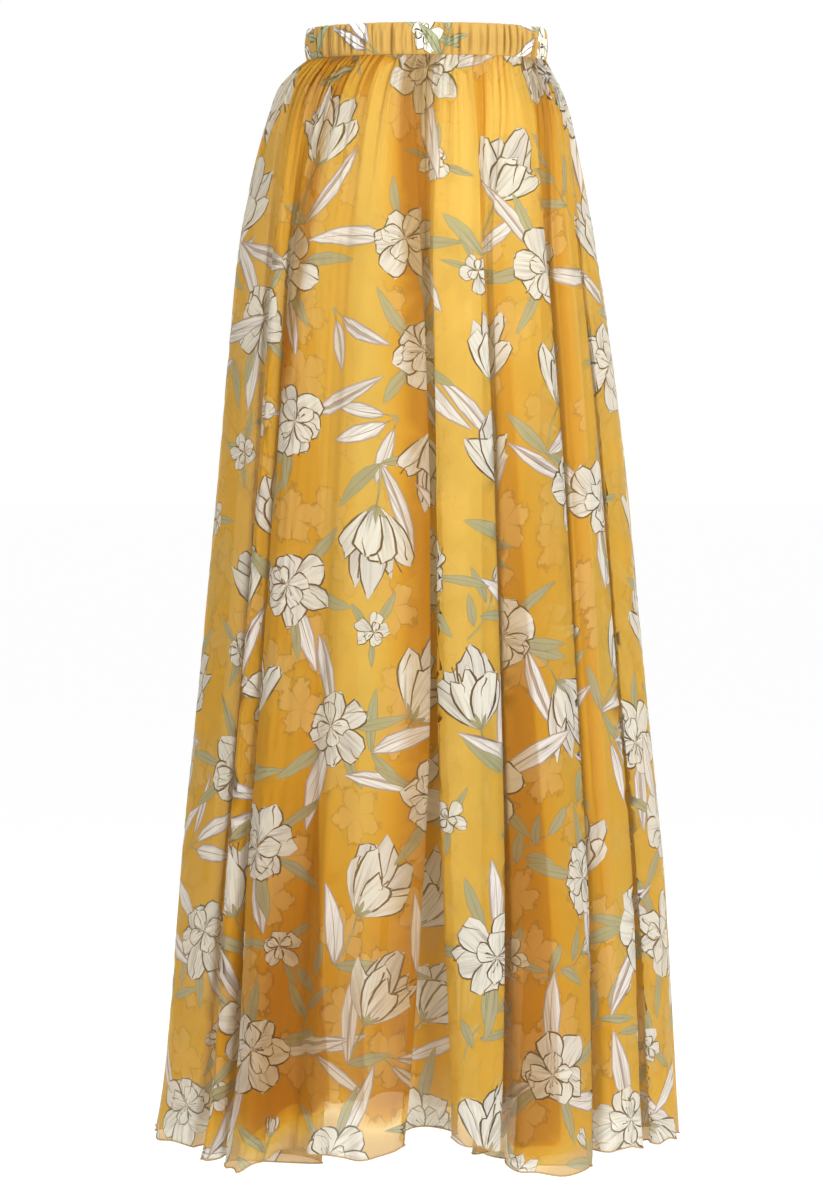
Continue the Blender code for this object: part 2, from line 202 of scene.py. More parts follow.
# By drop, how far each bend has moved from its bearing at the waist to its bearing at the hem, and how much
# of its narrowing a trough has. By the share of its opening, how much of its tuck a fold has.
SPREAD_BY_DROP = Curve((0.028, 0.09, 0.2, 0.42), (0.0, 0.35, 0.8, 1.0))
NARROWING_BY_DROP = Curve((0.028, 0.15, 0.55, 0.98), (0.0, 1.0, 1.0, 0.0))
TUCK_BY_OPENING = Curve((0.08, 0.2, 0.45, 1.0), (0.0, 0.14, 0.54, 1.0))

# Single creases. turn is where each starts, drifts how far it has moved by its foot, in folds; top and foot
# are drops; breadth is from its line to where it has faded, and rise is negative for a trough.
Crease = namedtuple("Crease", "turn drifts top foot breadth rise")
OUTER_CREASES = [Crease(*row) for row in (
    (3.2, 0.05, 0.06, 0.3, 0.007, -0.0016), (3.42, -0.04, 0.1, 0.43, 0.009, 0.0016),
    (3.66, 0.05, 0.05, 0.26, 0.006, -0.0014), (3.3, 0.1, 0.52, 1.0, 0.01, -0.002),
    (3.62, 0.03, 0.6, 1.01, 0.004, 0.0018), (3.67, 0.03, 0.62, 1.01, 0.004, -0.0016),
    (2.42, 0.06, 0.33, 0.9, 0.01, 0.0018), (2.6, -0.05, 0.06, 0.28, 0.007, -0.0014),
    (4.4, 0.06, 0.055, 0.33, 0.007, -0.0018), (4.58, -0.03, 0.18, 0.56, 0.008, 0.0014),
    (4.45, 0.06, 0.64, 1.01, 0.01, -0.002), (5.35, 0.08, 0.06, 0.35, 0.008, -0.0018),
    (5.5, -0.1, 0.38, 0.86, 0.009, 0.0018), (5.62, 0.04, 0.55, 1.005, 0.007, -0.0016),
    (6.45, 0.08, 0.1, 0.52, 0.008, 0.0016), (6.55, -0.05, 0.5, 0.98, 0.007, -0.0018),
    (7.4, 0.06, 0.08, 0.45, 0.008, -0.0018), (7.58, -0.06, 0.48, 1.0, 0.009, 0.0018),
    (0.4, 0.06, 0.08, 0.5, 0.009, 0.0018), (0.6, -0.06, 0.42, 1.0, 0.009, -0.002),
    (8.45, 0.08, 0.07, 0.42, 0.008, -0.0016), (8.6, -0.05, 0.45, 0.98, 0.008, 0.0018),
    (9.35, 0.06, 0.06, 0.33, 0.007, 0.0016), (9.55, -0.08, 0.3, 0.9, 0.01, -0.002),
    (10.45, 0.05, 0.09, 0.52, 0.008, -0.0016), (11.3, 0.06, 0.06, 0.35, 0.007, -0.0016),
    (11.55, -0.06, 0.28, 0.82, 0.01, 0.002), (11.7, 0.05, 0.56, 1.005, 0.006, -0.0016),
    (12.5, 0.05, 0.1, 0.6, 0.008, 0.0016), (13.35, 0.07, 0.06, 0.36, 0.008, -0.0018),
    (13.58, -0.06, 0.38, 0.96, 0.01, 0.0018), (14.45, 0.06, 0.08, 0.48, 0.008, -0.0016),
    (14.6, -0.05, 0.52, 1.0, 0.008, 0.0018),
)]
LINING_CREASES = [Crease(*row) for row in (
    (2.3, 0.08, 0.09, 0.5, 0.01, -0.001), (2.7, -0.1, 0.2, 0.78, 0.014, 0.0012),
    (1.5, 0.05, 0.12, 0.7, 0.012, 0.0012), (1.8, -0.06, 0.3, 0.79, 0.01, -0.001),
    (3.4, 0.06, 0.1, 0.62, 0.01, -0.0012), (0.5, -0.06, 0.12, 0.7, 0.012, 0.0012),
    (4.45, 0.06, 0.15, 0.7, 0.012, -0.0012), (5.5, -0.05, 0.1, 0.76, 0.012, 0.0012),
    (6.4, 0.05, 0.14, 0.64, 0.012, -0.0012), (7.45, -0.05, 0.1, 0.72, 0.012, 0.0012),
)]

# The bends of a fold: how far across the fold each one is, which of the face's edges it goes with, how
# far it is from that edge towards the middle of the trough, its share of the tuck, and of the depth.
Bend = namedtuple("Bend", "across side flank tuck depth")
BENDS = [Bend(*row) for row in (
    (0.0, "left", 1.0, 0.5, 1.0), (0.08, "left", 0.8, 0.88, 0.94), (0.13, "left", 0.6, 1.0, 0.79),
    (0.18, "left", 0.4, 0.88, 0.62), (0.27, "left", 0.0, 0.0, 0.3), (0.5, "middle", 0.0, 0.0, 0.0),
    (0.73, "right", 0.0, 0.0, 0.3), (0.82, "right", 0.4, 0.88, 0.62), (0.87, "right", 0.6, 1.0, 0.79),
    (0.92, "right", 0.8, 0.88, 0.94),
)]

KNOTS = [bend.across for bend in BENDS]
# Where across a fold its cloth bends most, for the mesh.
SHARP_BENDS = (0.0, 0.09, 0.15, 0.21, 0.26, 0.74, 0.79, 0.85, 0.91)


class Drape:
    """The outside of a hanging layer: an oval that widens with drop, and folds that deepen with it."""

    def __init__(self, sections, folds, hem_drop, gathered, creases):
        self.hem_drop = hem_drop
        self.gathered = gathered
        self.creases = creases
        self.count = len(folds)
        drops = column(sections, "drop")
        self.half_width, self.half_depth, self.shift = (
            Curve(drops, column(sections, name)) for name in ("half_width", "half_depth", "shift")
        )
        names = ("left", "right", "waist", "depth", "narrows", "tuck_left", "tuck_right")
        left, right, waist, depth, narrows, tuck_left, tuck_right = (column(folds, name) for name in names)
        first = np.where(np.arange(self.count) == 0, ROUND_DEGREES, 0.0)
        right_before = np.roll(right, 1) - first
        left_after = np.roll(left, -1) + first[::-1]
        middle, none = (left + right) / 2, 0.0 * left
        # For each side: the face's edge, the edge past the trough, the trough's depth, tuck and narrowing.
        sides = {
            "left": (left, right_before, np.roll(depth, 1), tuck_left, -np.roll(narrows, 1)),
            "middle": (middle, middle, none, none, none),
            "right": (right, left_after, depth, -tuck_right, narrows),
        }
        bearings, insets, tucks, narrowings = [], [], [], []
        for bend in BENDS:
            edge, beyond, trough, tuck, narrowing = sides[bend.side]
            bearings.append(edge + (beyond - edge) / 2 * bend.flank)
            insets.append(trough * bend.depth)
            tucks.append(tuck * bend.tuck)
            narrowings.append(narrowing / 2 * (1 - bend.flank))
        tucks[0] = (tuck_left - np.roll(tuck_right, 1)) * BENDS[0].tuck
        self.at_hem = self.ring(bearings, ROUND_DEGREES)
        self.at_waist = self.ring([np.roll(waist, 1) - first], ROUND_DEGREES, [0.0])
        self.inset, self.tuck, self.narrowing = (self.ring(values) for values in (insets, tucks, narrowings))
        self.opens = self.ring([column(folds, "opens")], 0.0, [0.5])
        rises = [np.roll(column(folds, "trough_rise"), 1), column(folds, "face_rise")]
        self.hem_rise = self.ring(rises, 0.0, [0.0, 0.5])

    def ring(self, at_knots, per_round=0.0, knots=KNOTS):
        """A curve over all turns, from the values that each fold gives at its knots."""
        turns = (np.arange(self.count)[:, None] + np.array(knots)[None, :]).ravel()
        values = np.stack(at_knots, axis=1).ravel()
        all_turns = np.concatenate([turns - self.count, turns, turns + self.count])
        return Curve(all_turns, np.concatenate([values - per_round, values, values + per_round]))

    def hem(self, turn):
        """The drop of the hem, which its folds lift unevenly."""
        return self.hem_drop - self.hem_rise.at(turn)

    def ripple(self, turn, drop):
        """How far the gathers and the hem's ripples push the cloth out."""
        phase = TAU * GATHERS_PER_FOLD * turn
        per_round = TAU * turn / self.count
        gathers = GATHERS_BY_DROP.at(drop)
        ripples = RIPPLES_ABOVE_HEM.at(self.hem(turn) - drop)
        uneven_top = 0.75 + 0.25 * np.sin(19 * per_round + 1.0)
        uneven_hem = 0.65 + 0.35 * np.sin(11 * per_round + 2.0)
        return gathers * uneven_top * np.cos(phase) + ripples * uneven_hem * np.sin(phase)

    def point(self, turn, drop):
        """The point of the solid's outside at this turn and drop."""
        opens = self.opens.at(turn)
        open_share = np.clip((drop - opens) / (self.hem_drop - opens), 0.0, 1.1)
        at_waist = self.at_waist.at(turn)
        at_hem = self.at_hem.at(turn) + self.tuck.at(turn) * TUCK_BY_OPENING.at(open_share)
        at_hem = at_hem + self.narrowing.at(turn) * NARROWING_BY_DROP.at(drop)
        angle = np.radians(at_waist + SPREAD_BY_DROP.at(drop) * (at_hem - at_waist))
        out = -self.inset.at(turn) * open_share**DEEPENING
        if self.gathered:
            out = out + self.ripple(turn, drop)
        x, y = on_oval(angle, self.half_width.at(drop), self.half_depth.at(drop), out, self.shift.at(drop))
        return np.stack([x, y, BAND_HEIGHT / 2 - drop + 0.0 * x], axis=-1)

    def breadth(self, drop):
        """About how much cloth one turn holds at this drop."""
        fuller = 1.0 + FULLER_AT_HEM * np.clip(drop / self.hem_drop, 0.0, 1.0) * self.gathered
        return np.pi * (self.half_width.at(drop) + self.half_depth.at(drop)) * fuller / self.count

    def gathers(self, turn, drop):
        """The fine gathers at the waist, from -1 in a crease to 1, and the drop to read their sizes at.

        Some lie closer together than others, and some are many times longer.
        """
        per_round = TAU * turn / self.count
        stray = 1.4 * np.sin(7 * per_round)
        phase = TAU * FINE_PER_FOLD * turn + stray + 0.9 * np.sin(17 * per_round + drop * 9)
        length = 0.66 + 0.3 * np.sin(31 * per_round + 0.5) + 0.26 * np.sin(TAU * 2.3 * turn + 1.0)
        pinch = (np.sin(phase) + 0.35 * np.sin(2.3 * phase + 1.0)) / 1.35
        return pinch, SEAM_DROP + (drop - SEAM_DROP) / length

    def relief(self, turn, drop):
        """How far the small folds and the creases lift the cloth off the solid's form."""
        per_round = TAU * turn / self.count
        lift = 0.0 * turn
        if self.gathered:
            pinch, read_at = self.gathers(turn, drop)
            lift = lift + FINE_BY_DROP.at(read_at) * pinch
            flutter = TAU * FLUTTERS_PER_FOLD * turn
            flutter = flutter + 2.2 * np.sin(4 * per_round + 0.6) + 1.3 * np.sin(13 * per_round)
            uneven = 0.6 + 0.4 * np.sin(9 * per_round + 1.7)
            lift = lift + FLUTTER_ABOVE_HEM.at(self.hem(turn) - drop) * uneven * np.sin(flutter)
            soft = TAU * SOFT_CREASES_PER_FOLD * turn + 1.8 * np.sin(5 * per_round + 2.0) + 3.0 * drop
            waves = np.sin(soft) + 0.5 * np.sin(2.7 * soft + 4.0 * drop)
            lift = lift + SOFT_CREASES_BY_DROP.at(drop) * waves
        breadth = self.breadth(drop)
        for crease in self.creases:
            share = np.clip((drop - crease.top) / (crease.foot - crease.top), 0.0, 1.0)
            line = crease.turn + crease.drifts * share
            away = (turn - line + self.count / 2) % self.count - self.count / 2
            away = away * breadth / crease.breadth
            fades = np.sin(np.pi * np.clip(share, 0.02, 1.0) ** 0.8).clip(0.0, 1.0)
            lift = lift + crease.rise * fades * np.exp(-(away**2))
        return lift

    def edge(self, turn):
        """The drop of the finished hem, with its small waves."""
        per_round = TAU * turn / self.count
        wave = np.sin(TAU * EDGE_WAVES_PER_FOLD * turn + 2.0 * np.sin(6 * per_round))
        return self.hem(turn) + EDGE_WAVE * wave * self.gathered

    def cloth(self, turn, drop):
        """The point of the finished cloth, half the solid's wall inside its outside face."""
        lift = self.relief(turn, drop) - CLOTH_WALL / 2
        return self.point(turn, drop) + facing(self.point, turn, drop) * lift[..., None]


def facing(surface, turn, drop, steps=(0.002, 0.0008)):
    """The outward unit normals of a surface that is read by turn and drop, by small steps of each."""
    across = surface(turn + steps[0], drop) - surface(turn - steps[0], drop)
    down = surface(turn, drop + steps[1]) - surface(turn, drop - steps[1])
    return unit(np.cross(down, across))


# How much cloth hangs close behind the outermost layer, by turn: 0 for one sheer layer, 1 for many. The
# values also paint shade: they rise beside fold edges and in recesses, and above 1 the cloth is painted
# darker still. low is the same below the slip.
FullnessAndShade = namedtuple("FullnessAndShade", "turn layers low")
FULLNESS_AND_SHADE = [FullnessAndShade(*row) for row in (
    (0.0, 0.2, 0.5), (0.5, 0.2, 0.4), (1.0, 0.0, 0.15), (1.6, 0.1, 0.4), (2.0, 0.35, 0.75),
    (2.3, 0.1, 0.35), (2.6, 0.12, 0.7), (2.8, 0.15, 0.85), (3.0, 0.3, 1.0), (3.12, 0.25, 1.3),
    (3.22, 0.2, 1.2), (3.32, 0.02, 0.9), (3.46, 0.05, 0.95), (3.54, 0.45, 1.25), (3.6, 0.95, 1.35),
    (3.65, 1.35, 1.5), (3.73, 1.3, 1.4), (3.9, 1.12, 1.05), (4.05, 0.95, 0.95), (4.22, 0.45, 0.45),
    (4.4, 0.15, 0.25), (4.6, 0.0, 0.15), (4.74, 0.0, 0.3), (4.84, 1.0, 1.0), (5.2, 1.2, 1.2),
    (5.28, 1.2, 1.25), (5.36, 1.2, 1.2), (5.43, 1.05, 1.1), (5.51, 0.75, 0.9), (5.6, 0.4, 0.65),
    (5.68, 0.05, 0.35), (5.8, 1.1, 1.1), (6.04, 1.2, 1.2), (6.2, 1.3, 1.1), (6.3, 0.95, 0.8),
    (6.42, 0.5, 0.4), (6.6, 0.05, 0.2), (7.0, 0.1, 0.25), (7.3, 0.0, 0.2), (7.6, 0.0, 0.2),
    (8.0, 0.15, 0.35), (9.0, 0.35, 0.6), (14.5, 0.25, 0.45), (15.0, 0.05, 0.35),
)]
# Strips of cloth folded back behind the sheer layer, whose edges show through it. start and stop are turns
# at the waist, and drifts is how far both move in a metre of drop. The two lists may overlap.
Strip = namedtuple("Strip", "start start_drifts stop stop_drifts")
NEAR_STRIPS = [Strip(*row) for row in (
    (1.3, 0.0, 2.54, 0.85), (6.28, 0.06, 6.5, -0.1), (9.22, 0.1, 9.62, -0.05), (11.35, -0.08, 11.8, 0.05),
    (13.3, 0.05, 13.9, 0.0),
)]
FAR_STRIPS = [Strip(*row) for row in (
    (0.45, 0.05, 3.25, 0.28), (5.36, -0.45, 5.34, 0.14), (7.25, 0.1, 7.46, 0.05), (8.55, 0.0, 8.95, 0.1),
    (10.35, 0.08, 10.72, -0.06), (12.3, 0.1, 12.9, 0.04), (14.3, 0.0, 14.75, 0.1),
)]

# Folds near the waist whose recesses are painted darker, as shade, by giving them more layers: where each
# lies, how far that moves in a metre of drop, its breadth in turns, and its layers at each drop.
ShadedTightFold = namedtuple("ShadedTightFold", "turn drifts breadth layers")
SHADED_TIGHT_FOLDS = [
    ShadedTightFold(3.9, 0.0, 0.22, Curve((0.03, 0.12, 0.3), (0.9, 0.81, 0.0))),
    ShadedTightFold(2.62, -0.9, 0.13, Curve((0.03, 0.11, 0.21, 0.3, 0.42), (0.25, 0.7, 1.15, 0.8, 0.0))),
]
LAYERS_AND_SHADE_BY_TURN = Curve(column(FULLNESS_AND_SHADE, "turn"), column(FULLNESS_AND_SHADE, "layers"))
LOW_LAYERS_AND_SHADE_BY_TURN = Curve(column(FULLNESS_AND_SHADE, "turn"), column(FULLNESS_AND_SHADE, "low"))
LOW_BY_DROP = Curve((0.6, 0.86), (0.0, 1.0))
# The fold right of the middle gets its layers, which paint the shade of its recess, from the waist down.
SHADE_OPENING_BY_DROP = Curve((0.12, 0.25, 0.35, 0.5, 0.65), (0.0, 0.5, 0.68, 0.84, 0.92))
SHADE_OPENING_BY_TURN = Curve((4.95, 5.12, 5.5, 5.62), (0.0, 1.0, 1.0, 0.0))
# The gathers hold more cloth in their creases, which are also painted darker as shade, and a painted
# shadow runs along the seam under the waistband.
GATHERED_AND_SHADED_BY_DROP = Curve((0.028, 0.045, 0.09, 0.2), (1.0, 0.85, 0.4, 0.0))
BESIDE_CREASE, GATHER_CREASE_SHADE = 0.1, 1.2
SEAM_SHADOW_BY_DROP = Curve((0.028, 0.031, 0.036), (1.0, 0.7, 0.0))
SEAM_SHADOW = 0.55
# The cloth hangs alone at the foot of the hem, where its layers end at different heights.
LAYERED_ABOVE_HEM = Curve((0.0, 0.014, 0.029, 0.044), (0.0, 0.1, 0.8, 1.0))
STRIPS_END = 0.03


def fullness_and_shade(drape, turn, drop, hem):
    """The layers and the painted shade at each place, or less than 0 where the foot of the hem hangs alone.
    """
    low = LOW_BY_DROP.at(drop)
    layers = LAYERS_AND_SHADE_BY_TURN.at(turn) * (1 - low) + LOW_LAYERS_AND_SHADE_BY_TURN.at(turn) * low
    layers = layers * (1 - SHADE_OPENING_BY_TURN.at(turn) * (1 - SHADE_OPENING_BY_DROP.at(drop)))
    pinch, read_at = drape.gathers(turn, drop)
    crease = ((0.15 - pinch) / 0.95).clip(0.0, 1.0)
    # Painted shade in the gathers' creases, and a painted shadow along the seam under the waistband.
    layers = np.maximum(layers, GATHERED_AND_SHADED_BY_DROP.at(read_at) * (BESIDE_CREASE + GATHER_CREASE_SHADE * crease**1.5))
    layers = layers + SEAM_SHADOW * SEAM_SHADOW_BY_DROP.at(drop)
    # Painted shade in the recesses of the tight folds.
    for fold in SHADED_TIGHT_FOLDS:
        away = (turn - fold.turn - fold.drifts * drop) / fold.breadth
        layers = layers + fold.layers.at(drop) * np.exp(-(away**2))
    uneven = 0.012 * np.sin(TAU * turn * 0.8) + 0.007 * np.sin(TAU * turn * 2.3)
    above = LAYERED_ABOVE_HEM.at(hem - drop + uneven)
    return layers * above - (1 - above)


def within(strips, turn, drop, hem, breadth):
    """How far inside the nearest strip each place is, and negative outside. A strip ends above the hem."""
    ends = hem - STRIPS_END - 0.01 * np.sin(TAU * turn * 0.7 + len(strips)) - drop
    depth = np.full(turn.shape, -1.0)
    for strip in strips:
        after = (turn - strip.start - strip.start_drifts * drop) * breadth
        before = (strip.stop + strip.stop_drifts * drop - turn) * breadth
        depth = np.maximum(depth, np.minimum(np.minimum(after, before), ends))
    return depth


def outer_drape():
    return Drape(OUTER_SECTIONS, OUTER_FOLDS, HEM_DROP, True, OUTER_CREASES)


def slip_drape():
    return Drape(LINING_SECTIONS, LINING_FOLDS, LINING_DROP, False, LINING_CREASES)


def split_at(folds, fold_name):
    return [fold.name for fold in folds].index(fold_name)


Panel = namedtuple("Panel", "name node first last")
OUTER_SPLIT = split_at(OUTER_FOLDS, "back_left_edge")
LINING_SPLIT = split_at(LINING_FOLDS, "slip_back_left")
OUTER_PANELS = [
    Panel("chiffon_front", "outer_front", 0, OUTER_SPLIT),
    Panel("chiffon_back", "outer_back", OUTER_SPLIT, len(OUTER_FOLDS)),
]
LINING_PANELS = [
    Panel("slip_front", "lining_front", 0, LINING_SPLIT),
    Panel("slip_back", "lining_back", LINING_SPLIT, len(LINING_FOLDS)),
]


class Measured:
    """One cut panel, measured along its cloth, so that a drawing can be laid on it unstretched."""

    def __init__(self, surface, first, last, top, foot, per_turn=60, rows=56):
        self.turns = np.linspace(first, last, int(round(per_turn * (last - first))) + 1)
        self.drops = np.linspace(top, foot, rows)
        self.middle = (first + last) / 2
        lengths = []
        for drop in self.drops:
            points = surface(self.turns, 0.0 * self.turns + drop)
            steps = np.linalg.norm(np.diff(points, axis=0), axis=-1)
            lengths.append(np.concatenate([[0.0], np.cumsum(steps)]))
        self.lengths = np.array(lengths)
        centre = np.array([np.interp(self.middle, self.turns, row) for row in self.lengths])
        self.lengths -= centre[:, None]

    def blend_rows(self, drop, read):
        """Reads a value on the measured drops above and below each point, and blends the two."""
        place = np.clip((drop - self.drops[0]) / (self.drops[1] - self.drops[0]), 0, len(self.drops) - 1.001)
        row = place.astype(int)
        result = np.zeros(len(drop))
        for i in np.unique(row):
            here = row == i
            share = place[here] - i
            result[here] = read(i, here) * (1 - share) + read(i + 1, here) * share
        return result

    def across(self, turn, drop):
        """How far round the cloth each point lies from the panel's middle."""
        return self.blend_rows(drop, lambda i, here: np.interp(turn[here], self.turns, self.lengths[i]))

    def turn_beside(self, turn, drop, aside):
        """The turn that lies a distance aside of another one, at each drop."""

        def read(i, here):
            start = np.interp(turn, self.turns, self.lengths[i])
            reach = start + aside[here]
            inside = np.interp(reach, self.lengths[i], self.turns)
            over = reach - self.lengths[i][-1]
            under = reach - self.lengths[i][0]
            per_metre = (self.turns[-1] - self.turns[0]) / (self.lengths[i][-1] - self.lengths[i][0])
            return inside + over.clip(0) * per_metre + under.clip(None, 0) * per_metre

        return self.blend_rows(drop, read)

    def widths(self):
        return self.lengths[:, -1] - self.lengths[:, 0]


# ---- the print ----

# A painted shape, and where it lies within its petal or leaf, for the streaks: the foot, the direction and
# the sizes. A shape without streaks has a length and a width of 1.
Stroke = namedtuple("Stroke", "points colour cover foot heading length width seed")
STREAK_SEEDS = 40.0
OUTLINE_COVER = 0.9


class Drawing:
    """Painted shapes in the order of painting, in metres, x to the right and y up."""

    def __init__(self, inks, seed):
        self.inks = inks
        self.random = random.Random(seed)
        self.strokes = []

    def between(self, low, high):
        return self.random.uniform(low, high)

    def paint(self, points, ink, cover=1.0, foot=(0.0, 0.0), heading=0.0, length=1.0, width=1.0, tone=1.0):
        colour = tuple(channel * tone for channel in self.inks[ink])
        seed = self.between(0.0, STREAK_SEEDS) if length < 1.0 else 0.0
        self.strokes.append(Stroke(points, colour, cover, foot, heading, length, width, seed))

    def line(self, spine, widths, ink, cover=1.0):
        """A brush line along a spine of points, as wide at each point as widths says."""
        half = across_it(np.gradient(spine, axis=0)) * np.asarray(widths)[:, None] / 2
        self.paint(np.concatenate([spine + half, (spine - half)[::-1]]), ink, cover)


def turned(points, angle, foot):
    """Local points, with x along a petal from its foot, turned by angle and moved to the foot."""
    c, s = math.cos(angle), math.sin(angle)
    return points @ np.array([[c, s], [-s, c]]) + np.array(foot)


def inward(points, by):
    """A closed outline drawn in by a distance, one for all its points or one each."""
    along = np.roll(points, -1, axis=0) - np.roll(points, 1, axis=0)
    return points + across_it(along) * np.reshape(by, (-1, 1))


# A petal's ragged edge: how many waves run round it, and how strong each set is.
PETAL_WAVES = ((3, 0.8), (5, 0.7), (8, 0.7), (13, 0.55))
TIP_LINE = 0.0019
FOLD_LINE = 0.001


def petal(drawing, foot, angle, length, width, ragged, ink="petal", heavy=1.0, count=18):
    """One petal: a soft grey outline, its fill, a broken wavering ink line along its tip and a fold line."""
    rand = drawing.between
    place = np.arange(count) / count * TAU
    # More points along the ragged tip than at the foot.
    place = place - 0.45 * np.sin(place) * (1 - 0.35 * np.cos(place))
    rise = 0.5 - 0.5 * np.cos(place)
    noise = sum(size * np.sin(waves * place + rand(0, 6.28)) for waves, size in PETAL_WAVES)
    reach = 1 + ragged * rise**1.5 * noise
    x = length * (rise * 0.96 + 0.04 * rise * np.abs(np.cos(place * 1.5 + rand(0, 3)))) * reach
    y = -width / 2 * np.sin(place) * (0.3 + 0.74 * rise**0.9) * (1 + ragged * 0.5 * noise * rise)
    curl = rand(-0.1, 0.1)
    y = y + curl * length * (x / length) ** 2
    outline = turned(np.stack([x, y], axis=1), angle, foot)
    here = dict(foot=foot, heading=angle, length=length, width=width)
    drawing.paint(outline, "outline", OUTLINE_COVER)
    fine = 0.0004 + 0.0003 * np.abs(np.sin(place * 2 + rand(0, 3)))
    drawing.paint(inward(outline, fine), ink, 0.92, tone=rand(0.95, 1.03), **here)
    # The ink along the tip, in two strokes that swell and thin, and stray from the edge.
    tip = count // 2
    spans = [(tip - rand(3.6, 5.6), tip - rand(0.0, 0.6)), (tip + rand(0.0, 0.5), tip + rand(3.6, 5.6))]
    ring = np.append(outline, outline[:1], axis=0)
    for start, end in spans:
        if rand(0, 1) > 0.92:
            continue
        at = np.linspace(start, end, 7)
        spine = np.stack([np.interp(at % count, np.arange(count + 1), ring[:, k]) for k in (0, 1)], axis=1)
        towards = unit(np.array(foot) - spine)
        spine = spine + towards * np.array([rand(0.0, 0.0012) for _ in at])[:, None] * heavy
        swell = np.sin(np.linspace(0.2, 2.95, 7)) * 0.55 + np.array([rand(0.05, 0.6) for _ in at])
        drawing.line(spine, TIP_LINE * heavy * swell, "ink")
    if rand(0, 1) < 0.7:
        start, bend = rand(0.4, 0.7), rand(-0.24, 0.24)
        t = np.linspace(0, 1, 5)
        wander = np.array([rand(-0.04, 0.04) for _ in t])
        along = length * (start + (0.96 - start) * t)
        aside = width * (bend * (1 - t) + rand(-0.1, 0.1) * t + wander)
        fold = np.stack([along, aside + curl * length * (along / length) ** 2], axis=1)
        widths = FOLD_LINE * heavy * np.array([0.2, 0.6, 0.8, 1.1, 1.5])
        drawing.line(turned(fold, angle, foot), widths, "ink", 0.88)


# A kind of leaf: the inks of its outline and its fill, how well the fill covers, and how broad its rim is.
LeafLook = namedtuple("LeafLook", "line fill cover rim")
LEAF_LOOKS = {
    "sage": LeafLook("sage_line", "sage", 0.88, 0.0005),
    "lilac": LeafLook("lilac_line", "leaf_white", 0.92, 0.0015),
}
LILAC_RIM = 0.00045
VEIN = 0.001


def leaf(drawing, foot, angle, length, width, kind, bend=None):
    """A narrow leaf: sage with one vein, or whitish with a lilac rim and often a lilac shaded half."""
    rand = drawing.between
    look, pale = LEAF_LOOKS[kind], kind == "lilac"
    bend = rand(-0.22, 0.22) if bend is None else bend
    count = 12
    place = np.arange(count) / count * TAU
    share = 0.5 - 0.5 * np.cos(place)
    side = -np.sin(place)
    x = length * share
    plump = np.sin(np.pi * share**0.85) ** 0.75
    y = width / 2 * np.sign(side) * plump * np.abs(side) ** 0.15 * (1 + 0.1 * np.sin(3 * place + rand(0, 6)))
    y = np.where((share < 1e-3) | (share > 0.999), 0.0, y) + bend * length * share**2
    outline = turned(np.stack([x, y], axis=1), angle, foot)
    here = dict(foot=foot, heading=angle, length=length, width=width)
    drawing.paint(outline, look.line, OUTLINE_COVER)
    if pale:
        drawing.paint(inward(outline, LILAC_RIM), "lilac", OUTLINE_COVER)
    drawing.paint(inward(outline, look.rim), look.fill, look.cover, tone=rand(0.93, 1.04), **here)
    t = np.linspace(0.02, 0.94, 5)
    vein = np.stack([length * t, bend * length * t**2 + 0.04 * width * np.sin(4 * t)], axis=1)
    if pale and rand(0, 1) < 0.4:
        # The shaded half, between the vein and one edge.
        sign = 1 if rand(0, 1) < 0.5 else -1
        edge = vein.copy()
        edge[:, 1] += sign * width / 2 * np.sin(np.pi * t**0.85) ** 0.75 * rand(0.25, 0.5)
        shade = np.concatenate([vein, edge[::-1]])
        shade = shade if sign > 0 else shade[::-1]
        drawing.paint(turned(shade, angle, foot), "lilac", OUTLINE_COVER, **here)
    widths = np.array([0.9, 0.8, 0.65, 0.45, 0.2]) * VEIN
    drawing.line(turned(vein, angle, foot), widths, look.line, OUTLINE_COVER)


STEM_RIM = 0.0007
STEM_COVER = 0.85


def stem(drawing, start, end, bow, width):
    """A bowed stem from one point to another."""
    t = np.linspace(0, 1, 5)[:, None]
    start, end = np.array(start), np.array(end)
    across = np.array([-(end - start)[1], (end - start)[0]])
    spine = start + (end - start) * t + across * bow * 4 * t * (1 - t)
    drawing.line(spine, np.linspace(1.0, 0.75, 5) * (width + STEM_RIM), "sage_line", STEM_COVER)
    drawing.line(spine[:-1], np.linspace(1.0, 0.7, 4) * width * 0.75, "sage", STEM_COVER)


def polar(foot, angle, length):
    return (foot[0] + length * math.cos(angle), foot[1] + length * math.sin(angle))


BIG_BLOOM = 0.022
STAMEN = 0.0011


def open_bloom(drawing, centre, radius, facing_angle):
    """A bloom seen from above: big outer petals, a cup of smaller ones off its middle, and stamens."""
    rand = drawing.between
    big = radius > BIG_BLOOM
    outer, inner, stamens, count, heavy = (6, 4, 9, 18, 1.0) if big else (5, 3, 5, 13, 0.5)
    start = facing_angle + rand(-0.3, 0.3)
    order = list(range(outer))
    drawing.random.shuffle(order)
    for i in order:
        angle = start + TAU * (i + rand(-0.16, 0.16)) / outer
        away = 0.9 + 0.14 * math.cos(angle - facing_angle)
        petal(
            drawing, polar(centre, angle, radius * 0.04), angle, radius * away * rand(0.94, 1.08),
            radius * rand(0.88, 1.08), 0.07, heavy=heavy, count=count,
        )
    cup = polar(centre, facing_angle + math.pi, radius * 0.1)
    for i in range(inner):
        angle = start + TAU * (i + 0.5 + rand(-0.2, 0.2)) / inner
        petal(
            drawing, polar(cup, angle, radius * 0.02), angle, radius * rand(0.5, 0.62),
            radius * rand(0.55, 0.72), 0.1, ink="petal_warm", heavy=0.8, count=14,
        )
    for _ in range(stamens):
        angle, reach = rand(0, TAU), radius * rand(0.16, 0.36)
        tip = polar(cup, angle, reach)
        foot = polar(cup, angle + rand(-0.5, 0.5), reach * 0.25)
        spine = np.array([foot, [(foot[0] + tip[0]) / 2 + rand(-1, 1) * 0.0006, (foot[1] + tip[1]) / 2], tip])
        drawing.line(spine, np.array([0.25, 0.4, 1.0]) * STAMEN, "ink" if rand(0, 1) < 0.7 else "outline")


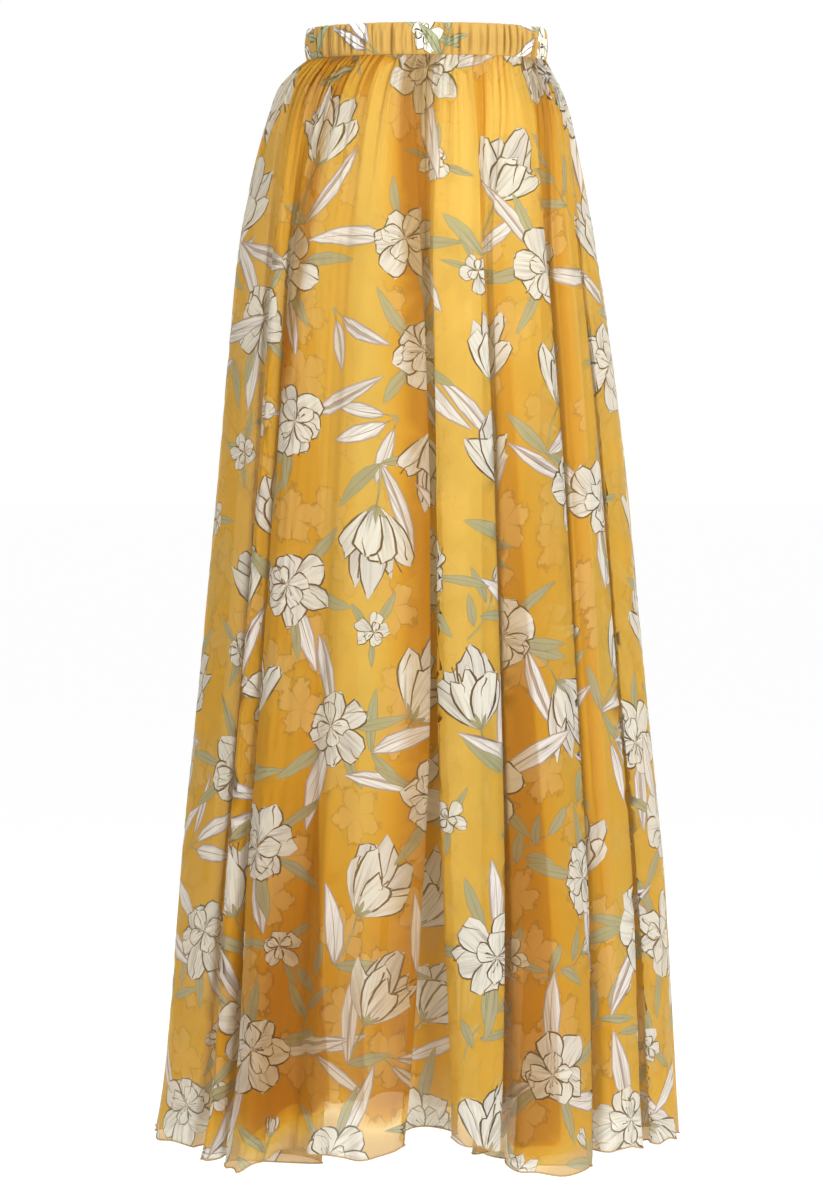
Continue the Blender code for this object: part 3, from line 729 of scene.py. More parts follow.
# The petals of a bloom seen from its side, from the back to the front. spread is how far each is turned from
# the bloom's middle and leans is 1 where the bloom's own lean moves it. tall and wide are shares of the
# bloom's height, of which it has between low and high.
CupPetal = namedtuple("CupPetal", "spread leans tall low high wide ragged ink heavy")
CUP_PETALS = [CupPetal(*row) for row in (
    (-0.3, 1, 0.98, 0.93, 1.05, 0.46, 0.09, "petal_cool", 1.0),
    (0.32, 1, 0.95, 0.93, 1.05, 0.46, 0.09, "petal_cool", 1.0),
    (0.02, 1, 1.05, 0.93, 1.05, 0.5, 0.09, "petal_cool", 1.0),
    (-0.62, 0, 0.8, 0.92, 1.06, 0.4, 0.1, "petal", 1.0),
    (0.6, 0, 0.84, 0.92, 1.06, 0.42, 0.1, "petal", 1.0),
    (0.22, 1, 0.74, 0.92, 1.08, 0.5, 0.13, "petal_warm", 1.25),
    (-0.24, 1, 0.66, 0.92, 1.08, 0.48, 0.13, "petal_warm", 1.25),
)]


def cup_bloom(drawing, foot, height, angle):
    """A bloom seen from its side: a fan of tall petals with lower, ragged ones folded over the front."""
    rand = drawing.between
    lean = rand(-0.12, 0.12)
    for one in CUP_PETALS:
        petal(
            drawing, foot, angle + one.spread + lean * one.leans, height * one.tall * rand(one.low, one.high),
            height * one.wide, one.ragged, one.ink, one.heavy,
        )
    for spread in (-0.8, -0.1, 0.7):
        leaf_angle = angle + spread + rand(-0.2, 0.2)
        leaf(drawing, foot, leaf_angle, height * rand(0.16, 0.24), height * 0.06, "sage", 0.1)


def bud(drawing, foot, height, angle):
    for spread, wide in ((-0.16, 0.5), (0.2, 0.5), (0.0, 0.42)):
        tall = height * drawing.between(0.85, 1.0)
        petal(drawing, foot, angle + spread, tall, height * wide, 0.08, heavy=0.6, count=12)
    for spread in (-0.5, 0.45):
        leaf(drawing, foot, angle + spread, height * 0.42, height * 0.14, "sage", 0.1)


def big_open(drawing):
    """An open bloom on crossed leaves."""
    rand = drawing.between
    radius = rand(0.035, 0.041)
    first = rand(0, TAU)
    for i in range(2):
        angle = first + i * rand(1.6, 2.8)
        foot = polar((0, 0), angle, radius * 0.45)
        leaf(drawing, foot, angle, rand(0.062, 0.084), rand(0.015, 0.021), "lilac")
    for i in range(3):
        angle = first + 2.2 + i * rand(0.9, 1.5)
        foot = polar((0, 0), angle, radius * 0.55)
        leaf(drawing, foot, angle, rand(0.04, 0.056), rand(0.009, 0.013), "sage")
    open_bloom(drawing, (0.0, 0.0), radius, rand(0, TAU))


def big_cup(drawing):
    """A side-on bloom on a long stem, with whitish leaves from the stem's foot."""
    rand = drawing.between
    height = rand(0.06, 0.076)
    up = math.pi / 2 + rand(-0.7, 0.7) + (math.pi if rand(0, 1) < 0.3 else 0.0)
    foot = polar((0, 0), up + math.pi, height * 0.5)
    ground = polar(foot, up + math.pi + rand(-0.35, 0.35), rand(0.035, 0.06))
    stem(drawing, ground, foot, rand(-0.12, 0.12), 0.0018)
    side = 1 if rand(0, 1) < 0.5 else -1
    leaf(drawing, ground, up + side * rand(0.35, 0.7), rand(0.066, 0.088), rand(0.014, 0.02), "lilac")
    leaf(drawing, ground, up - side * rand(0.6, 1.3), rand(0.04, 0.058), rand(0.011, 0.015), "sage")
    if rand(0, 1) < 0.6:
        leaf(drawing, ground, up + side * rand(1.2, 2.0), rand(0.036, 0.052), rand(0.009, 0.012), "sage")
    cup_bloom(drawing, foot, height, up)


def small_open(drawing):
    """A small bloom with a few narrow leaves."""
    rand = drawing.between
    first = rand(0, TAU)
    for i in range(3):
        angle = first + i * rand(1.3, 2.2)
        leaf(drawing, polar((0, 0), angle, 0.008), angle, rand(0.022, 0.034), rand(0.006, 0.009), "sage")
    open_bloom(drawing, (0.0, 0.0), rand(0.017, 0.021), rand(0, TAU))


def sage_spray(drawing):
    """A bare twig of sage leaves, some with a bud."""
    rand = drawing.between
    up = math.pi / 2 + rand(-1.2, 1.2)
    foot = polar((0, 0), up + math.pi, 0.026)
    tip = polar((0, 0), up, 0.026)
    stem(drawing, foot, tip, rand(-0.15, 0.15), 0.001)
    for share, side in ((0.25, 1), (0.45, -1), (0.72, 1)):
        at = (foot[0] + (tip[0] - foot[0]) * share, foot[1] + (tip[1] - foot[1]) * share)
        leaf(drawing, at, up + side * rand(0.5, 1.0), rand(0.026, 0.042), rand(0.008, 0.012), "sage")
    if rand(0, 1) < 0.5:
        bud(drawing, tip, rand(0.02, 0.027), up)
    else:
        leaf(drawing, tip, up + rand(-0.3, 0.3), rand(0.03, 0.042), rand(0.009, 0.012), "sage")


def white_pair(drawing):
    """Two or three whitish leaves on thin stems."""
    rand = drawing.between
    up = rand(0, TAU)
    foot = polar((0, 0), up + math.pi, 0.028)
    for spread in (-0.35, 0.3, 0.95)[: 2 + (rand(0, 1) < 0.5)]:
        angle = up + spread + rand(-0.1, 0.1)
        root = polar(foot, angle, 0.012)
        stem(drawing, foot, root, 0.05, 0.0012)
        leaf(drawing, root, angle, rand(0.046, 0.066), rand(0.012, 0.017), "lilac")


# How the clusters are strewn: the space that each keeps from the others, and how many a square metre has.
Strewn = namedtuple("Strewn", "make space per_square_metre")
CLUSTERS = [Strewn(*row) for row in (
    (big_open, 0.094, 44), (big_cup, 0.088, 52), (small_open, 0.058, 36), (white_pair, 0.05, 38),
    (sage_spray, 0.044, 42),
)]
MOST_TRIES = 3000


def strew(measured, seed, amount):
    """Strews clusters over a panel's cloth and returns their makers, turns and drops, in painting order."""
    chooser = random.Random(seed)
    widths = measured.widths()
    area = float(np.mean(widths) * (measured.drops[-1] - measured.drops[0]))
    placed = []
    for kind in CLUSTERS:
        wanted = int(kind.per_square_metre * area * amount)
        tries = 0
        while wanted > 0 and tries < MOST_TRIES:
            tries += 1
            drop = chooser.uniform(measured.drops[0], measured.drops[-1])
            share = chooser.uniform(0, 1)
            width = float(np.interp(drop, measured.drops, widths))
            if chooser.uniform(0, 1) > width / widths.max():
                continue
            row = int(np.argmin(np.abs(measured.drops - drop)))
            aside = measured.lengths[row][0] + share * width
            if any(math.hypot(aside - x, drop - y) < (kind.space + gap) / 2 for _, _, y, x, gap in placed):
                continue
            turn = float(np.interp(aside, measured.lengths[row], measured.turns))
            placed.append((kind.make, turn, drop, aside, kind.space))
            wanted -= 1
    placed.reverse()
    return [(make, turn, drop) for make, turn, drop, _, _ in placed]


# ---- meshes ----


def add_object(name, data):
    made = bpy.data.objects.new(name, data)
    bpy.context.scene.collection.objects.link(made)
    return made


def build_mesh(name, points, faces, normals, finish):
    """A smooth mesh object at the origin, with the normals that its surface's own rule gives, if any."""
    mesh = bpy.data.meshes.new(name)
    mesh.from_pydata(points.tolist(), [], faces)
    mesh.update()
    mesh.shade_smooth()
    if normals is not None:
        mesh.normals_split_custom_set_from_vertices(normals.tolist())
    mesh.materials.append(finish)
    return add_object(name, mesh)


def corner_values(mesh, name, kind, field, values):
    attribute = mesh.attributes.new(name, kind, "CORNER")
    attribute.data.foreach_set(field, np.ascontiguousarray(values, dtype=np.float32).ravel())


# A UV map keeps its sheet this far from its borders.
UV_MARGIN = 0.01


def lay_flat(mesh, measured, across, drops):
    """Makes the flat cut of a sheet its UV map."""
    reach = float(np.abs(measured.lengths).max()) * 2.02
    down = (drops - measured.drops[0]) / (measured.drops[-1] - measured.drops[0])
    flat = np.stack([across / reach + 0.5, 1 - down], axis=1).clip(0, 1) * (1 - 2 * UV_MARGIN) + UV_MARGIN
    corners = np.empty(len(mesh.loops), np.int32)
    mesh.loops.foreach_get("vertex_index", corners)
    layer = mesh.uv_layers.new(name="OFBake")
    layer.data.foreach_set("uv", np.ascontiguousarray(flat[corners], dtype=np.float32).ravel())


# The triangulation joins points that are nearer than this. A shape that covers SPILLED times its own area
# has spilled, and points of an outline where it bends less than NEARLY_STRAIGHT can go.
CDT_STEP = 1e-6
SPILLED = 1.3
NEARLY_STRAIGHT = 0.02


def inside_of(outline, points):
    """Which points lie inside an outline that may cross itself."""
    inside = np.zeros(len(points), bool)
    x, y = points.T
    for (x0, y0), (x1, y1) in zip(outline, np.roll(outline, -1, axis=0)):
        crosses = (y0 > y) != (y1 > y)
        with np.errstate(divide="ignore", invalid="ignore"):
            inside ^= crosses & (x < x0 + (y - y0) * (x1 - x0) / (y1 - y0))
    return inside


def twice_area(outline):
    """Twice the area in an outline, and negative if it runs clockwise."""
    x, y = outline.T
    return np.dot(x, np.roll(y, -1)) - np.dot(y, np.roll(x, -1))


def painted_by(sources, centres, areas, outlines):
    """The topmost shape on each triangle. A shape that crosses itself can spill, and is cut back."""
    pairs = np.array([(i, shape) for i, source in enumerate(sources) for shape in source])
    covered = np.bincount(pairs[:, 1], areas[pairs[:, 0]], minlength=len(outlines))
    own = np.array([abs(twice_area(outline)) / 2 for outline in outlines])
    keep = np.ones(len(pairs), bool)
    for shape in np.nonzero(covered > SPILLED * own + 1e-8)[0]:
        rows = np.nonzero(pairs[:, 1] == shape)[0]
        keep[rows] = inside_of(outlines[shape], centres[pairs[rows, 0]])
    topmost = np.full(len(sources), -1)
    np.maximum.at(topmost, pairs[keep, 0], pairs[keep, 1])
    return topmost


def visible_print(points, faces, plain_count, bends):
    """Triangulates the cloth and its painted shapes, and drops the lines that later shapes hide.

    The first face is the cloth's border, and the first plain_count points are its own. bends are pairs of
    these along which the cloth bends sharply, so that no triangle crosses them. Returns the points, the
    triangles and the topmost shape on each.
    """
    cut = delaunay_2d_cdt([Vector(p) for p in points], [], faces, 1, CDT_STEP, True)
    where = np.array([tuple(v) for v in cut[0]])
    triangles = np.array(cut[2])
    corners = where[triangles]
    centres = corners.mean(axis=1)
    sides = corners[:, 1:] - corners[:, :1]
    areas = np.abs(sides[:, 0, 0] * sides[:, 1, 1] - sides[:, 0, 1] * sides[:, 1, 0]) / 2
    topmost = painted_by(cut[5], centres, areas, [points[face] for face in faces])
    in_cloth = np.array([0 in source for source in cut[5]])
    triangles, topmost = triangles[in_cloth], topmost[in_cloth]
    # An edge stays where it parts two shapes, and a point where such an edge bends or the cloth needs it.
    plain = np.array([any(i < plain_count for i in origin) for origin in cut[3]])
    ends = np.sort(triangles[:, [0, 1, 1, 2, 2, 0]].reshape(-1, 2), axis=1)
    shape = np.repeat(topmost, 3)
    order = np.lexsort((ends[:, 1], ends[:, 0]))
    ends, shape = ends[order], shape[order]
    twin = (ends[1:] == ends[:-1]).all(axis=1)
    alone = ~(np.append(twin, False) | np.append(False, twin))
    parts = np.append(twin & (shape[1:] != shape[:-1]), False) | alone
    neighbours = {}
    for a, b in ends[parts].tolist():
        neighbours.setdefault(a, set()).add(b)
        neighbours.setdefault(b, set()).add(a)
    for point in list(neighbours):
        beside = neighbours[point]
        if plain[point] or len(beside) != 2:
            continue
        a, b = beside
        before, after = where[point] - where[a], where[b] - where[point]
        bend = abs(before[0] * after[1] - before[1] * after[0])
        if b not in neighbours[a] and bend < NEARLY_STRAIGHT * np.hypot(*before) * np.hypot(*after):
            neighbours[a].remove(point)
            neighbours[b].remove(point)
            neighbours[a].add(b)
            neighbours[b].add(a)
            del neighbours[point]
    corner_points = np.unique(triangles)
    used = np.array(sorted(set(neighbours) | set(corner_points[plain[corner_points]].tolist())))
    number = {int(point): i for i, point in enumerate(used)}
    edges = [(number[a], number[b]) for a, beside in neighbours.items() for b in beside if a < b]
    origins = ((new, old) for new, origin in enumerate(cut[3]) for old in origin if old < plain_count)
    found_as = {old: number.get(new) for new, old in origins}
    edges += [(found_as[a], found_as[b]) for a, b in bends if None not in (found_as.get(a), found_as.get(b))]
    again = delaunay_2d_cdt([Vector(p) for p in where[used]], edges, [], 0, CDT_STEP, True)
    final = np.array([tuple(v) for v in again[0]])
    final_triangles = np.array(again[2])
    tree = BVHTree.FromPolygons([(x, y, 0.0) for x, y in where], triangles.tolist())
    down = Vector((0.0, 0.0, -1.0))
    hits = [tree.ray_cast(Vector((x, y, 1.0)), down)[2] for x, y in final[final_triangles].mean(axis=1)]
    found = np.array([-1 if hit is None else hit for hit in hits])
    return final, final_triangles[found >= 0], topmost[found[found >= 0]]


def anticlockwise(outline):
    """The outline in the order that the triangulation takes as its inside."""
    return outline if twice_area(outline) > 0 else outline[::-1]


def printed_sheet(
    name, surface, measured, foot_of, clusters, drawing, grid, finish, steps=(0.002, 0.0008), layers=None,
    bent=(), finer=0, tall=1.0,
):
    """A sheet of cloth with its print cut into its mesh, so that the print bends with the folds.

    surface(turn, drop) gives its points, foot_of(turn) the drop of its lower edge, and grid the turns and
    the shares of the way down where plain points lie. bent are the columns of the grid along which it bends
    sharply, and its first finer rows have twice the columns. tall is the length of the cloth.
    """
    turns, shares = grid
    first, last, top = turns[0], turns[-1], measured.drops[0]
    scale = 1.0 / (last - first) * float(np.median(measured.widths()))

    def to_share(turn, drop):
        return (drop - top) / (foot_of(turn) - top)

    # The plain cloth: its border as one face, and the points inside it.
    border = [(t, 0.0) for t in turns[:-1]] + [(last, s) for s in shares[:-1]]
    border += [(t, 1.0) for t in turns[:0:-1]] + [(first, s) for s in shares[:0:-1]]
    inner_turn, inner_share = np.meshgrid(turns[1:-1], shares[1:-1])
    between_turn, between_share = np.meshgrid((turns[1:] + turns[:-1]) / 2, shares[1 : finer + 1])
    plain = np.concatenate([
        np.array(border),
        np.stack([inner_turn.ravel(), inner_share.ravel()], axis=1),
        np.stack([between_turn.ravel(), between_share.ravel()], axis=1),
    ])
    # Each bend runs down one column of points, from the upper border to the lower one.
    inside = len(border) + np.arange(len(shares) - 2) * (len(turns) - 2)
    lower = len(turns) + len(shares) - 2 + len(turns) - 1
    lines = [[column, *(inside + column - 1), lower - column] for column in bent]
    bends = [pair for line in lines for pair in zip(line, line[1:])]
    faces = [list(range(len(border)))]
    points = [plain]
    count = len(plain)
    owners = [None]
    for make, turn, drop in clusters:
        start = len(drawing.strokes)
        make(drawing)
        for stroke in drawing.strokes[start:]:
            drops = drop - stroke.points[:, 1]
            stroke_turns = measured.turn_beside(turn, drops, stroke.points[:, 0])
            points.append(anticlockwise(np.stack([stroke_turns, to_share(stroke_turns, drops)], axis=1)))
            faces.append(list(range(count, count + len(drops))))
            count += len(drops)
            owners.append((stroke, turn, drop))
    size = np.array([scale, tall])
    domain, triangles, topmost = visible_print(np.concatenate(points) * size, faces, len(plain), bends)
    domain = domain / size
    turn = domain[:, 0].clip(first, last)
    drop = top + domain[:, 1].clip(0.0, 1.0) * (foot_of(turn) - top)
    positions = surface(turn, drop)
    normals = facing(surface, turn, drop, steps)
    across = measured.across(turn, drop)
    # Triangles run the way that faces outwards.
    a, b, c = (positions[triangles[:, k]] for k in range(3))
    flip = np.einsum("ij,ij->i", np.cross(b - a, c - a), normals[triangles].sum(axis=1)) < 0
    triangles[flip] = triangles[flip][:, ::-1]
    made = build_mesh(name, positions, triangles.tolist(), normals, finish)
    mesh = made.data
    # Each corner's ink, and its place within its petal.
    colour_of = np.zeros((len(owners), 4))
    frame_of = np.zeros((len(owners), 8))
    for i, owner in enumerate(owners[1:], 1):
        stroke, at_turn, at_drop = owner
        colour_of[i] = (*stroke.colour, stroke.cover)
        frame_of[i] = (
            at_turn, at_drop, *stroke.foot, stroke.heading, stroke.length, stroke.width, stroke.seed,
        )
    frame_of[:, 5:7] = np.where(frame_of[:, 5:7] == 0.0, 1.0, frame_of[:, 5:7])
    ink = np.repeat(topmost, 3)
    corner = triangles.ravel()
    own = frame_of[ink]
    aside = across[corner] - measured.across(own[:, 0].clip(first, last), drop[corner])
    dx, dy = aside - own[:, 2], own[:, 1] - drop[corner] - own[:, 3]
    cos, sin = np.cos(own[:, 4]), np.sin(own[:, 4])
    place = np.stack(
        [(dy * cos - dx * sin) / own[:, 6] * 2, (dx * cos + dy * sin) / own[:, 5], own[:, 7]], axis=1
    )
    place[own[:, 5] >= 1.0] = 0.0
    corner_values(mesh, "print_ink", "FLOAT_COLOR", "color", colour_of[ink])
    corner_values(mesh, "petal_place", "FLOAT_VECTOR", "vector", place)
    # The layers behind and the painted shade, for the finish to read.
    if layers:
        corner_values(mesh, "cloth_layers", "FLOAT_VECTOR", "vector", layers(turn, drop)[corner])
    lay_flat(mesh, measured, across, drop)
    return made


def grid_faces(rows, columns):
    index = np.arange(rows * columns).reshape(rows, columns)
    corners = [index[:-1, :-1], index[1:, :-1], index[1:, 1:], index[:-1, 1:]]
    return np.stack(corners, axis=-1).reshape(-1, 4).tolist()


def sheet_grid(name, surface, turns, drops, finish, measured):
    """A plain sheet on a grid of turns and drops, with its flat cut as its UV map."""
    points, normals = surface(turns, drops).reshape(-1, 3), facing(surface, turns, drops).reshape(-1, 3)
    made = build_mesh(name, points, grid_faces(*turns.shape), normals, finish)
    lay_flat(made.data, measured, measured.across(turns.ravel(), drops.ravel()), drops.ravel())
    return made


ROLL_SIDES = 6


def rolled_edge(name, path, radius, finish):
    """A thin round roll of cloth along a path, closed at its ends."""
    along = unit(np.gradient(path, axis=0))
    side = unit(np.cross(along, [0.0, 0.0, 1.0]))
    up = np.cross(side, along)
    turn = np.arange(ROLL_SIDES) / ROLL_SIDES * TAU
    ring = side[:, None, :] * np.cos(turn)[None, :, None] + up[:, None, :] * np.sin(turn)[None, :, None]
    points = (path[:, None, :] + ring * radius).reshape(-1, 3)
    faces = []
    for start in range(0, (len(path) - 1) * ROLL_SIDES, ROLL_SIDES):
        for k in range(ROLL_SIDES):
            n = (k + 1) % ROLL_SIDES
            faces.append((start + k, start + n, start + ROLL_SIDES + n, start + ROLL_SIDES + k))
    faces.append(tuple(range(ROLL_SIDES))[::-1])
    faces.append(tuple((len(path) - 1) * ROLL_SIDES + k for k in range(ROLL_SIDES)))
    return build_mesh(name, points, faces, None, finish)


# ---- finishes ----


class Wire:
    """One output of a finish's node, with the sums that the finishes use."""

    def __init__(self, finish, socket):
        self.finish = finish
        self.socket = socket

    def sum_with(self, operation, first, second):
        return self.finish.node("Math", {"operation": operation}, {0: first, 1: second})

    def __add__(self, other):
        return self.sum_with("ADD", self, other)

    __radd__ = __add__

    def __mul__(self, other):
        return self.sum_with("MULTIPLY", self, other)

    __rmul__ = __mul__

    def __sub__(self, other):
        return self.sum_with("SUBTRACT", self, other)

    def __rsub__(self, other):
        return self.sum_with("SUBTRACT", other, self)

    def above(self, other):
        return self.sum_with("GREATER_THAN", self, other)

    def size(self):
        return self.finish.node("Math", {"operation": "ABSOLUTE"}, {0: self})

    def held(self):
        return self.finish.node("Clamp", {}, {"Value": self})


class Finish:
    """A material and the nodes that it is built from."""

    def __init__(self, name):
        self.material = bpy.data.materials.new(name)
        self.material.use_nodes = True
        self.tree = self.material.node_tree
        self.tree.nodes.clear()
        self.end = self.tree.nodes.new("ShaderNodeOutputMaterial")

    def node(self, kind, settings, sockets, output=0):
        """Adds a shader node. Its settings are set first, and then the values or links of its sockets."""
        made = self.tree.nodes.new("ShaderNode" + kind)
        for name, value in settings.items():
            setattr(made, name, value)
        for name, value in sockets.items():
            if isinstance(value, Wire):
                self.tree.links.new(value.socket, made.inputs[name])
            else:
                made.inputs[name].default_value = value
        return Wire(self, made.outputs[output])

    def mixed(self, share, first, second, blend="MIX"):
        """A mix of two colours."""
        settings = {"data_type": "RGBA", "blend_type": blend}
        return self.node("Mix", settings, {0: share, 6: first, 7: second}, 2)

    def shader_mix(self, share, first, second):
        return self.node("MixShader", {}, {0: share, 1: first, 2: second})

    def stretched(self, where, scale):
        return self.node("Mapping", {}, {"Vector": where, "Scale": scale})

    def noise(self, where, scale, detail=2.0, roughness=0.5):
        """Noise at a place. A scale of three numbers stretches it."""
        if isinstance(scale, tuple):
            where, scale = self.stretched(where, scale), 1.0
        sockets = {"Vector": where, "Scale": scale, "Detail": detail, "Roughness": roughness}
        return self.node("TexNoise", {}, sockets)

    def object_place(self):
        return self.node("TexCoord", {}, {}, "Object")

    def attribute(self, name, output="Vector"):
        return self.node("Attribute", {"attribute_name": name}, {}, output)

    def parts(self, vector, axes="XYZ"):
        return [self.node("SeparateXYZ", {}, {"Vector": vector}, axis) for axis in axes]

    def bump(self, height, distance, strength=1.0):
        return self.node("Bump", {}, {"Height": height, "Distance": distance, "Strength": strength})

    def threads(self, colour, roughness, **sockets):
        """The surface itself. Sockets are named with an underscore for each space."""
        named = {name.replace("_", " "): value for name, value in sockets.items()}
        named.update({"Base Color": colour, "Roughness": roughness})
        return self.node("BsdfPrincipled", {}, named)

    def end_with(self, shader):
        self.tree.links.new(shader.socket, self.end.inputs["Surface"])
        return self.material


def opaque(colour, shade=1.0):
    return (*(channel * shade for channel in colour), 1.0)


# The scales of the noises: how often they repeat in a metre, over the cloth and down it.
THREADS = (900.0, 900.0, 60.0)
CREPE = 1400.0
SLUBS = (260.0, 260.0, 25.0)
CASING_THREADS = (420.0, 420.0, 45.0)
ROLL_TWIST = (500.0, 500.0, 500.0)
SATIN_DRAG = (160.0, 160.0, 12.0)
THREAD_TWIST = 2600.0
CLOTH_CLOUDS = 7.0
SATIN_CLOUDS = 9.0
WEAVE_PATCHES = 60.0
FLOOR_CLOUDS = 0.6

# The streaks and the wash within a petal, across it, along it and from one to the next.
STREAKS = (8.0, 0.8, 3.0)
WASH = (1.3, 1.1, 3.0)
STREAK_GREY = (0.2, 0.19, 0.185, 1.0)
WASH_GREY = (0.46, 0.43, 0.46, 1.0)

# The blooms of the layers behind: how many lie across and down a panel, and how strongly they show.
BLOOMS_BEHIND = (25.0, 14.0, 1.0)
BLOOM_SHOWS = 0.26
BLOOM_LINE_SHOWS = 0.75
BLOOM_GOLD = (0.7, 0.54, 0.26, 1.0)
BLOOM_BROWN = (0.24, 0.13, 0.03, 1.0)

# How many layers each strip behind the sheer one adds, and the tint of the painted shade that darkens the
# cloth beyond one full layer.
NEAR_STRIP = 0.36
FAR_STRIP = 0.34
RECESS_SHADE_TINT = (0.6, 0.44, 0.26, 1.0)
ALONE_COVER = 0.28
INK_GLOW = (0.5, 0.46, 0.38, 1.0)
ROLL_COVER = 0.66
# Tints of painted shade on the casing: the broad dip round each pucker and its narrow crease.
PUCKER_DIP_SHADE = (0.8, 0.62, 0.3, 1.0)
CASING_CREASE_SHADE = (0.5, 0.34, 0.16, 1.0)
FLOOR_SEEN = (0.22, 0.22, 0.22, 1.0)


def blooms_behind(made, ground, layers):
    """The print of the layers behind, as faint blooms with a wavering outline and parted petals."""
    on_cloth = made.stretched(made.attribute("OFBake"), BLOOMS_BEHIND)
    cell = {"voronoi_dimensions": "2D"}, {"Vector": on_cloth, "Scale": 1.0, "Randomness": 0.9}
    apart, centre, random_turn = (
        made.node("TexVoronoi", *cell, output) for output in ("Distance", "Position", "Color")
    )
    reach = made.node("VectorMath", {"operation": "SUBTRACT"}, {0: on_cloth, 1: centre})
    aside, up = made.parts(reach, "XY")
    angle = up.sum_with("ARCTAN2", up, aside) * 2.5 + random_turn * 6.28
    lobe = angle.sum_with("COSINE", angle, 0.0).size()
    wander = made.noise(on_cloth, 9.0)
    inside = 0.22 + 0.15 * lobe + 0.3 * (wander - 0.5) - apart
    bloom = (inside * 40.0).held()
    drawn = (1.0 - (inside * 34.0).size()).held() + bloom * (1.0 - lobe * 7.0).held()
    ground = made.mixed(bloom * layers * BLOOM_SHOWS, ground, BLOOM_GOLD)
    return made.mixed(drawn.held() * layers * BLOOM_LINE_SHOWS, ground, BLOOM_BROWN)


def painted_colours(made, ground, deep=None, layers=None):
    """The colour and cover of the printed cloth, whose ground is deep in many layers and where shade is
    painted.
    """
    place = made.object_place()
    thread_tone = made.noise(place, THREADS, 1.0) * 0.22
    clouds = (made.noise(place, CLOTH_CLOUDS) - 0.45) * 0.5
    tone = made.mixed(thread_tone, opaque(ground), opaque(ground, 0.82))
    tone = made.mixed(clouds, tone, opaque(ground, 0.88))
    if layers:
        tone = blooms_behind(made, made.mixed(layers, tone, opaque(deep)), layers)
    ink, cover = made.attribute("print_ink", "Color"), made.attribute("print_ink", "Alpha")
    petal_place = made.attribute("petal_place")
    (along,) = made.parts(petal_place, "Y")
    in_petal = along.size().above(0.001)
    streaks = ((made.noise(petal_place, STREAKS, 3.0, 0.6) - 0.47) * 6.0).held() * (1.25 - along).held()
    shaded = made.mixed(streaks * in_petal * 0.72, ink, STREAK_GREY)
    wash = ((made.noise(petal_place, WASH, 1.0) - 0.52) * 3.0).held()
    shaded = made.mixed(wash * in_petal * 0.28, shaded, WASH_GREY)
    shown = (cover * 1.08).held()
    # Where layers or painted shade lie, more of the ground shows through the print.
    if layers:
        shown = shown * (1 - 0.16 * layers)
    return made.mixed(shown, tone, shaded), cover


def chiffon_finish(made, cloth):
    """Sheer crepe: part of the light goes straight through, part glows through the threads."""
    place = made.object_place()
    near, far, base = made.parts(made.attribute("cloth_layers"))
    soften = 1.0 / cloth.edge_blur
    alone = (0.0 - base).held()
    strips = NEAR_STRIP * (near * soften + 0.5).held() + FAR_STRIP * (far * soften + 0.5).held()
    # The layers behind, with the painted shade that the attribute carries.
    behind_and_recess_shade = base + strips * (1 - alone)
    layers = behind_and_recess_shade.held()
    colour, cover = painted_colours(made, cloth.gold, cloth.layered_and_shaded_gold, layers)
    # Beyond one full layer the cloth is darkened further, as painted shade in its recesses.
    shade = made.mixed(1.0, colour, RECESS_SHADE_TINT, "MULTIPLY")
    colour = made.mixed(((behind_and_recess_shade - 1.0) * 2.0).held(), colour, shade)
    colour = made.mixed(alone * (1 - cover), colour, opaque(cloth.hem_gold))
    threads = made.threads(
        colour, 0.72, Specular_IOR_Level=0.18, Sheen_Weight=0.12, Sheen_Roughness=0.4,
        Sheen_Tint=(1.0, 0.86, 0.55, 1.0),
        Normal=made.bump(made.noise(place, CREPE, 1.0) * 0.6 + made.noise(place, SLUBS) * 0.4, 0.00025, 0.35),
    )
    glow_gold, glow_ink = (
        made.node("BsdfTranslucent", {}, {"Color": glow}) for glow in (opaque(cloth.glow), INK_GLOW)
    )
    body = made.shader_mix(cloth.glow_share, threads, made.shader_mix(cover, glow_gold, glow_ink))
    through = made.node("BsdfTransparent", {}, {"Color": opaque(cloth.tint)})
    weave = 0.05 * (made.noise(place, WEAVE_PATCHES) - 0.5)
    layered = layers * (cloth.layered_cover - cloth.ground_cover)
    bare = weave + cloth.ground_cover + layered + alone * ALONE_COVER
    solid = bare + cover * (cloth.print_cover - bare)
    return made.end_with(made.shader_mix(solid.held(), through, body))


def rolled_finish(made, cloth):
    """The same cloth rolled on itself, so that little shows through."""
    twist = made.noise(made.object_place(), ROLL_TWIST)
    colour = made.mixed(twist * 0.5, opaque(cloth.hem_gold), opaque(cloth.hem_gold, 0.7))
    threads = made.threads(colour, 0.75, Specular_IOR_Level=0.2, Normal=made.bump(twist, 0.0003))
    through = made.node("BsdfTransparent", {}, {"Color": opaque(cloth.tint)})
    return made.end_with(made.shader_mix(ROLL_COVER, through, threads))


def casing_finish(made, cloth):
    """The gathered casing: two layers of the chiffon over its elastic, which no light comes through."""
    colour, _ = painted_colours(made, cloth.casing_gold)
    place = made.object_place()
    narrow, broad = made.parts(made.attribute("cloth_layers"), "XY")
    # Painted shade: darker in the broad dip round each pucker and darker still in its narrow crease, where
    # the cloth also lies doubled.
    colour = made.mixed(broad * 0.3, colour, made.mixed(1.0, colour, PUCKER_DIP_SHADE, "MULTIPLY"))
    colour = made.mixed(narrow * 0.75, colour, made.mixed(1.0, colour, CASING_CREASE_SHADE, "MULTIPLY"))
    relief = made.noise(place, CREPE, 1.0) * 0.4 + made.noise(place, CASING_THREADS) * 0.9
    return made.end_with(made.threads(
        colour, 0.7, Specular_IOR_Level=0.2, Sheen_Weight=0.15, Sheen_Tint=(1.0, 0.9, 0.65, 1.0),
        Normal=made.bump(relief, 0.0004, 0.6),
    ))


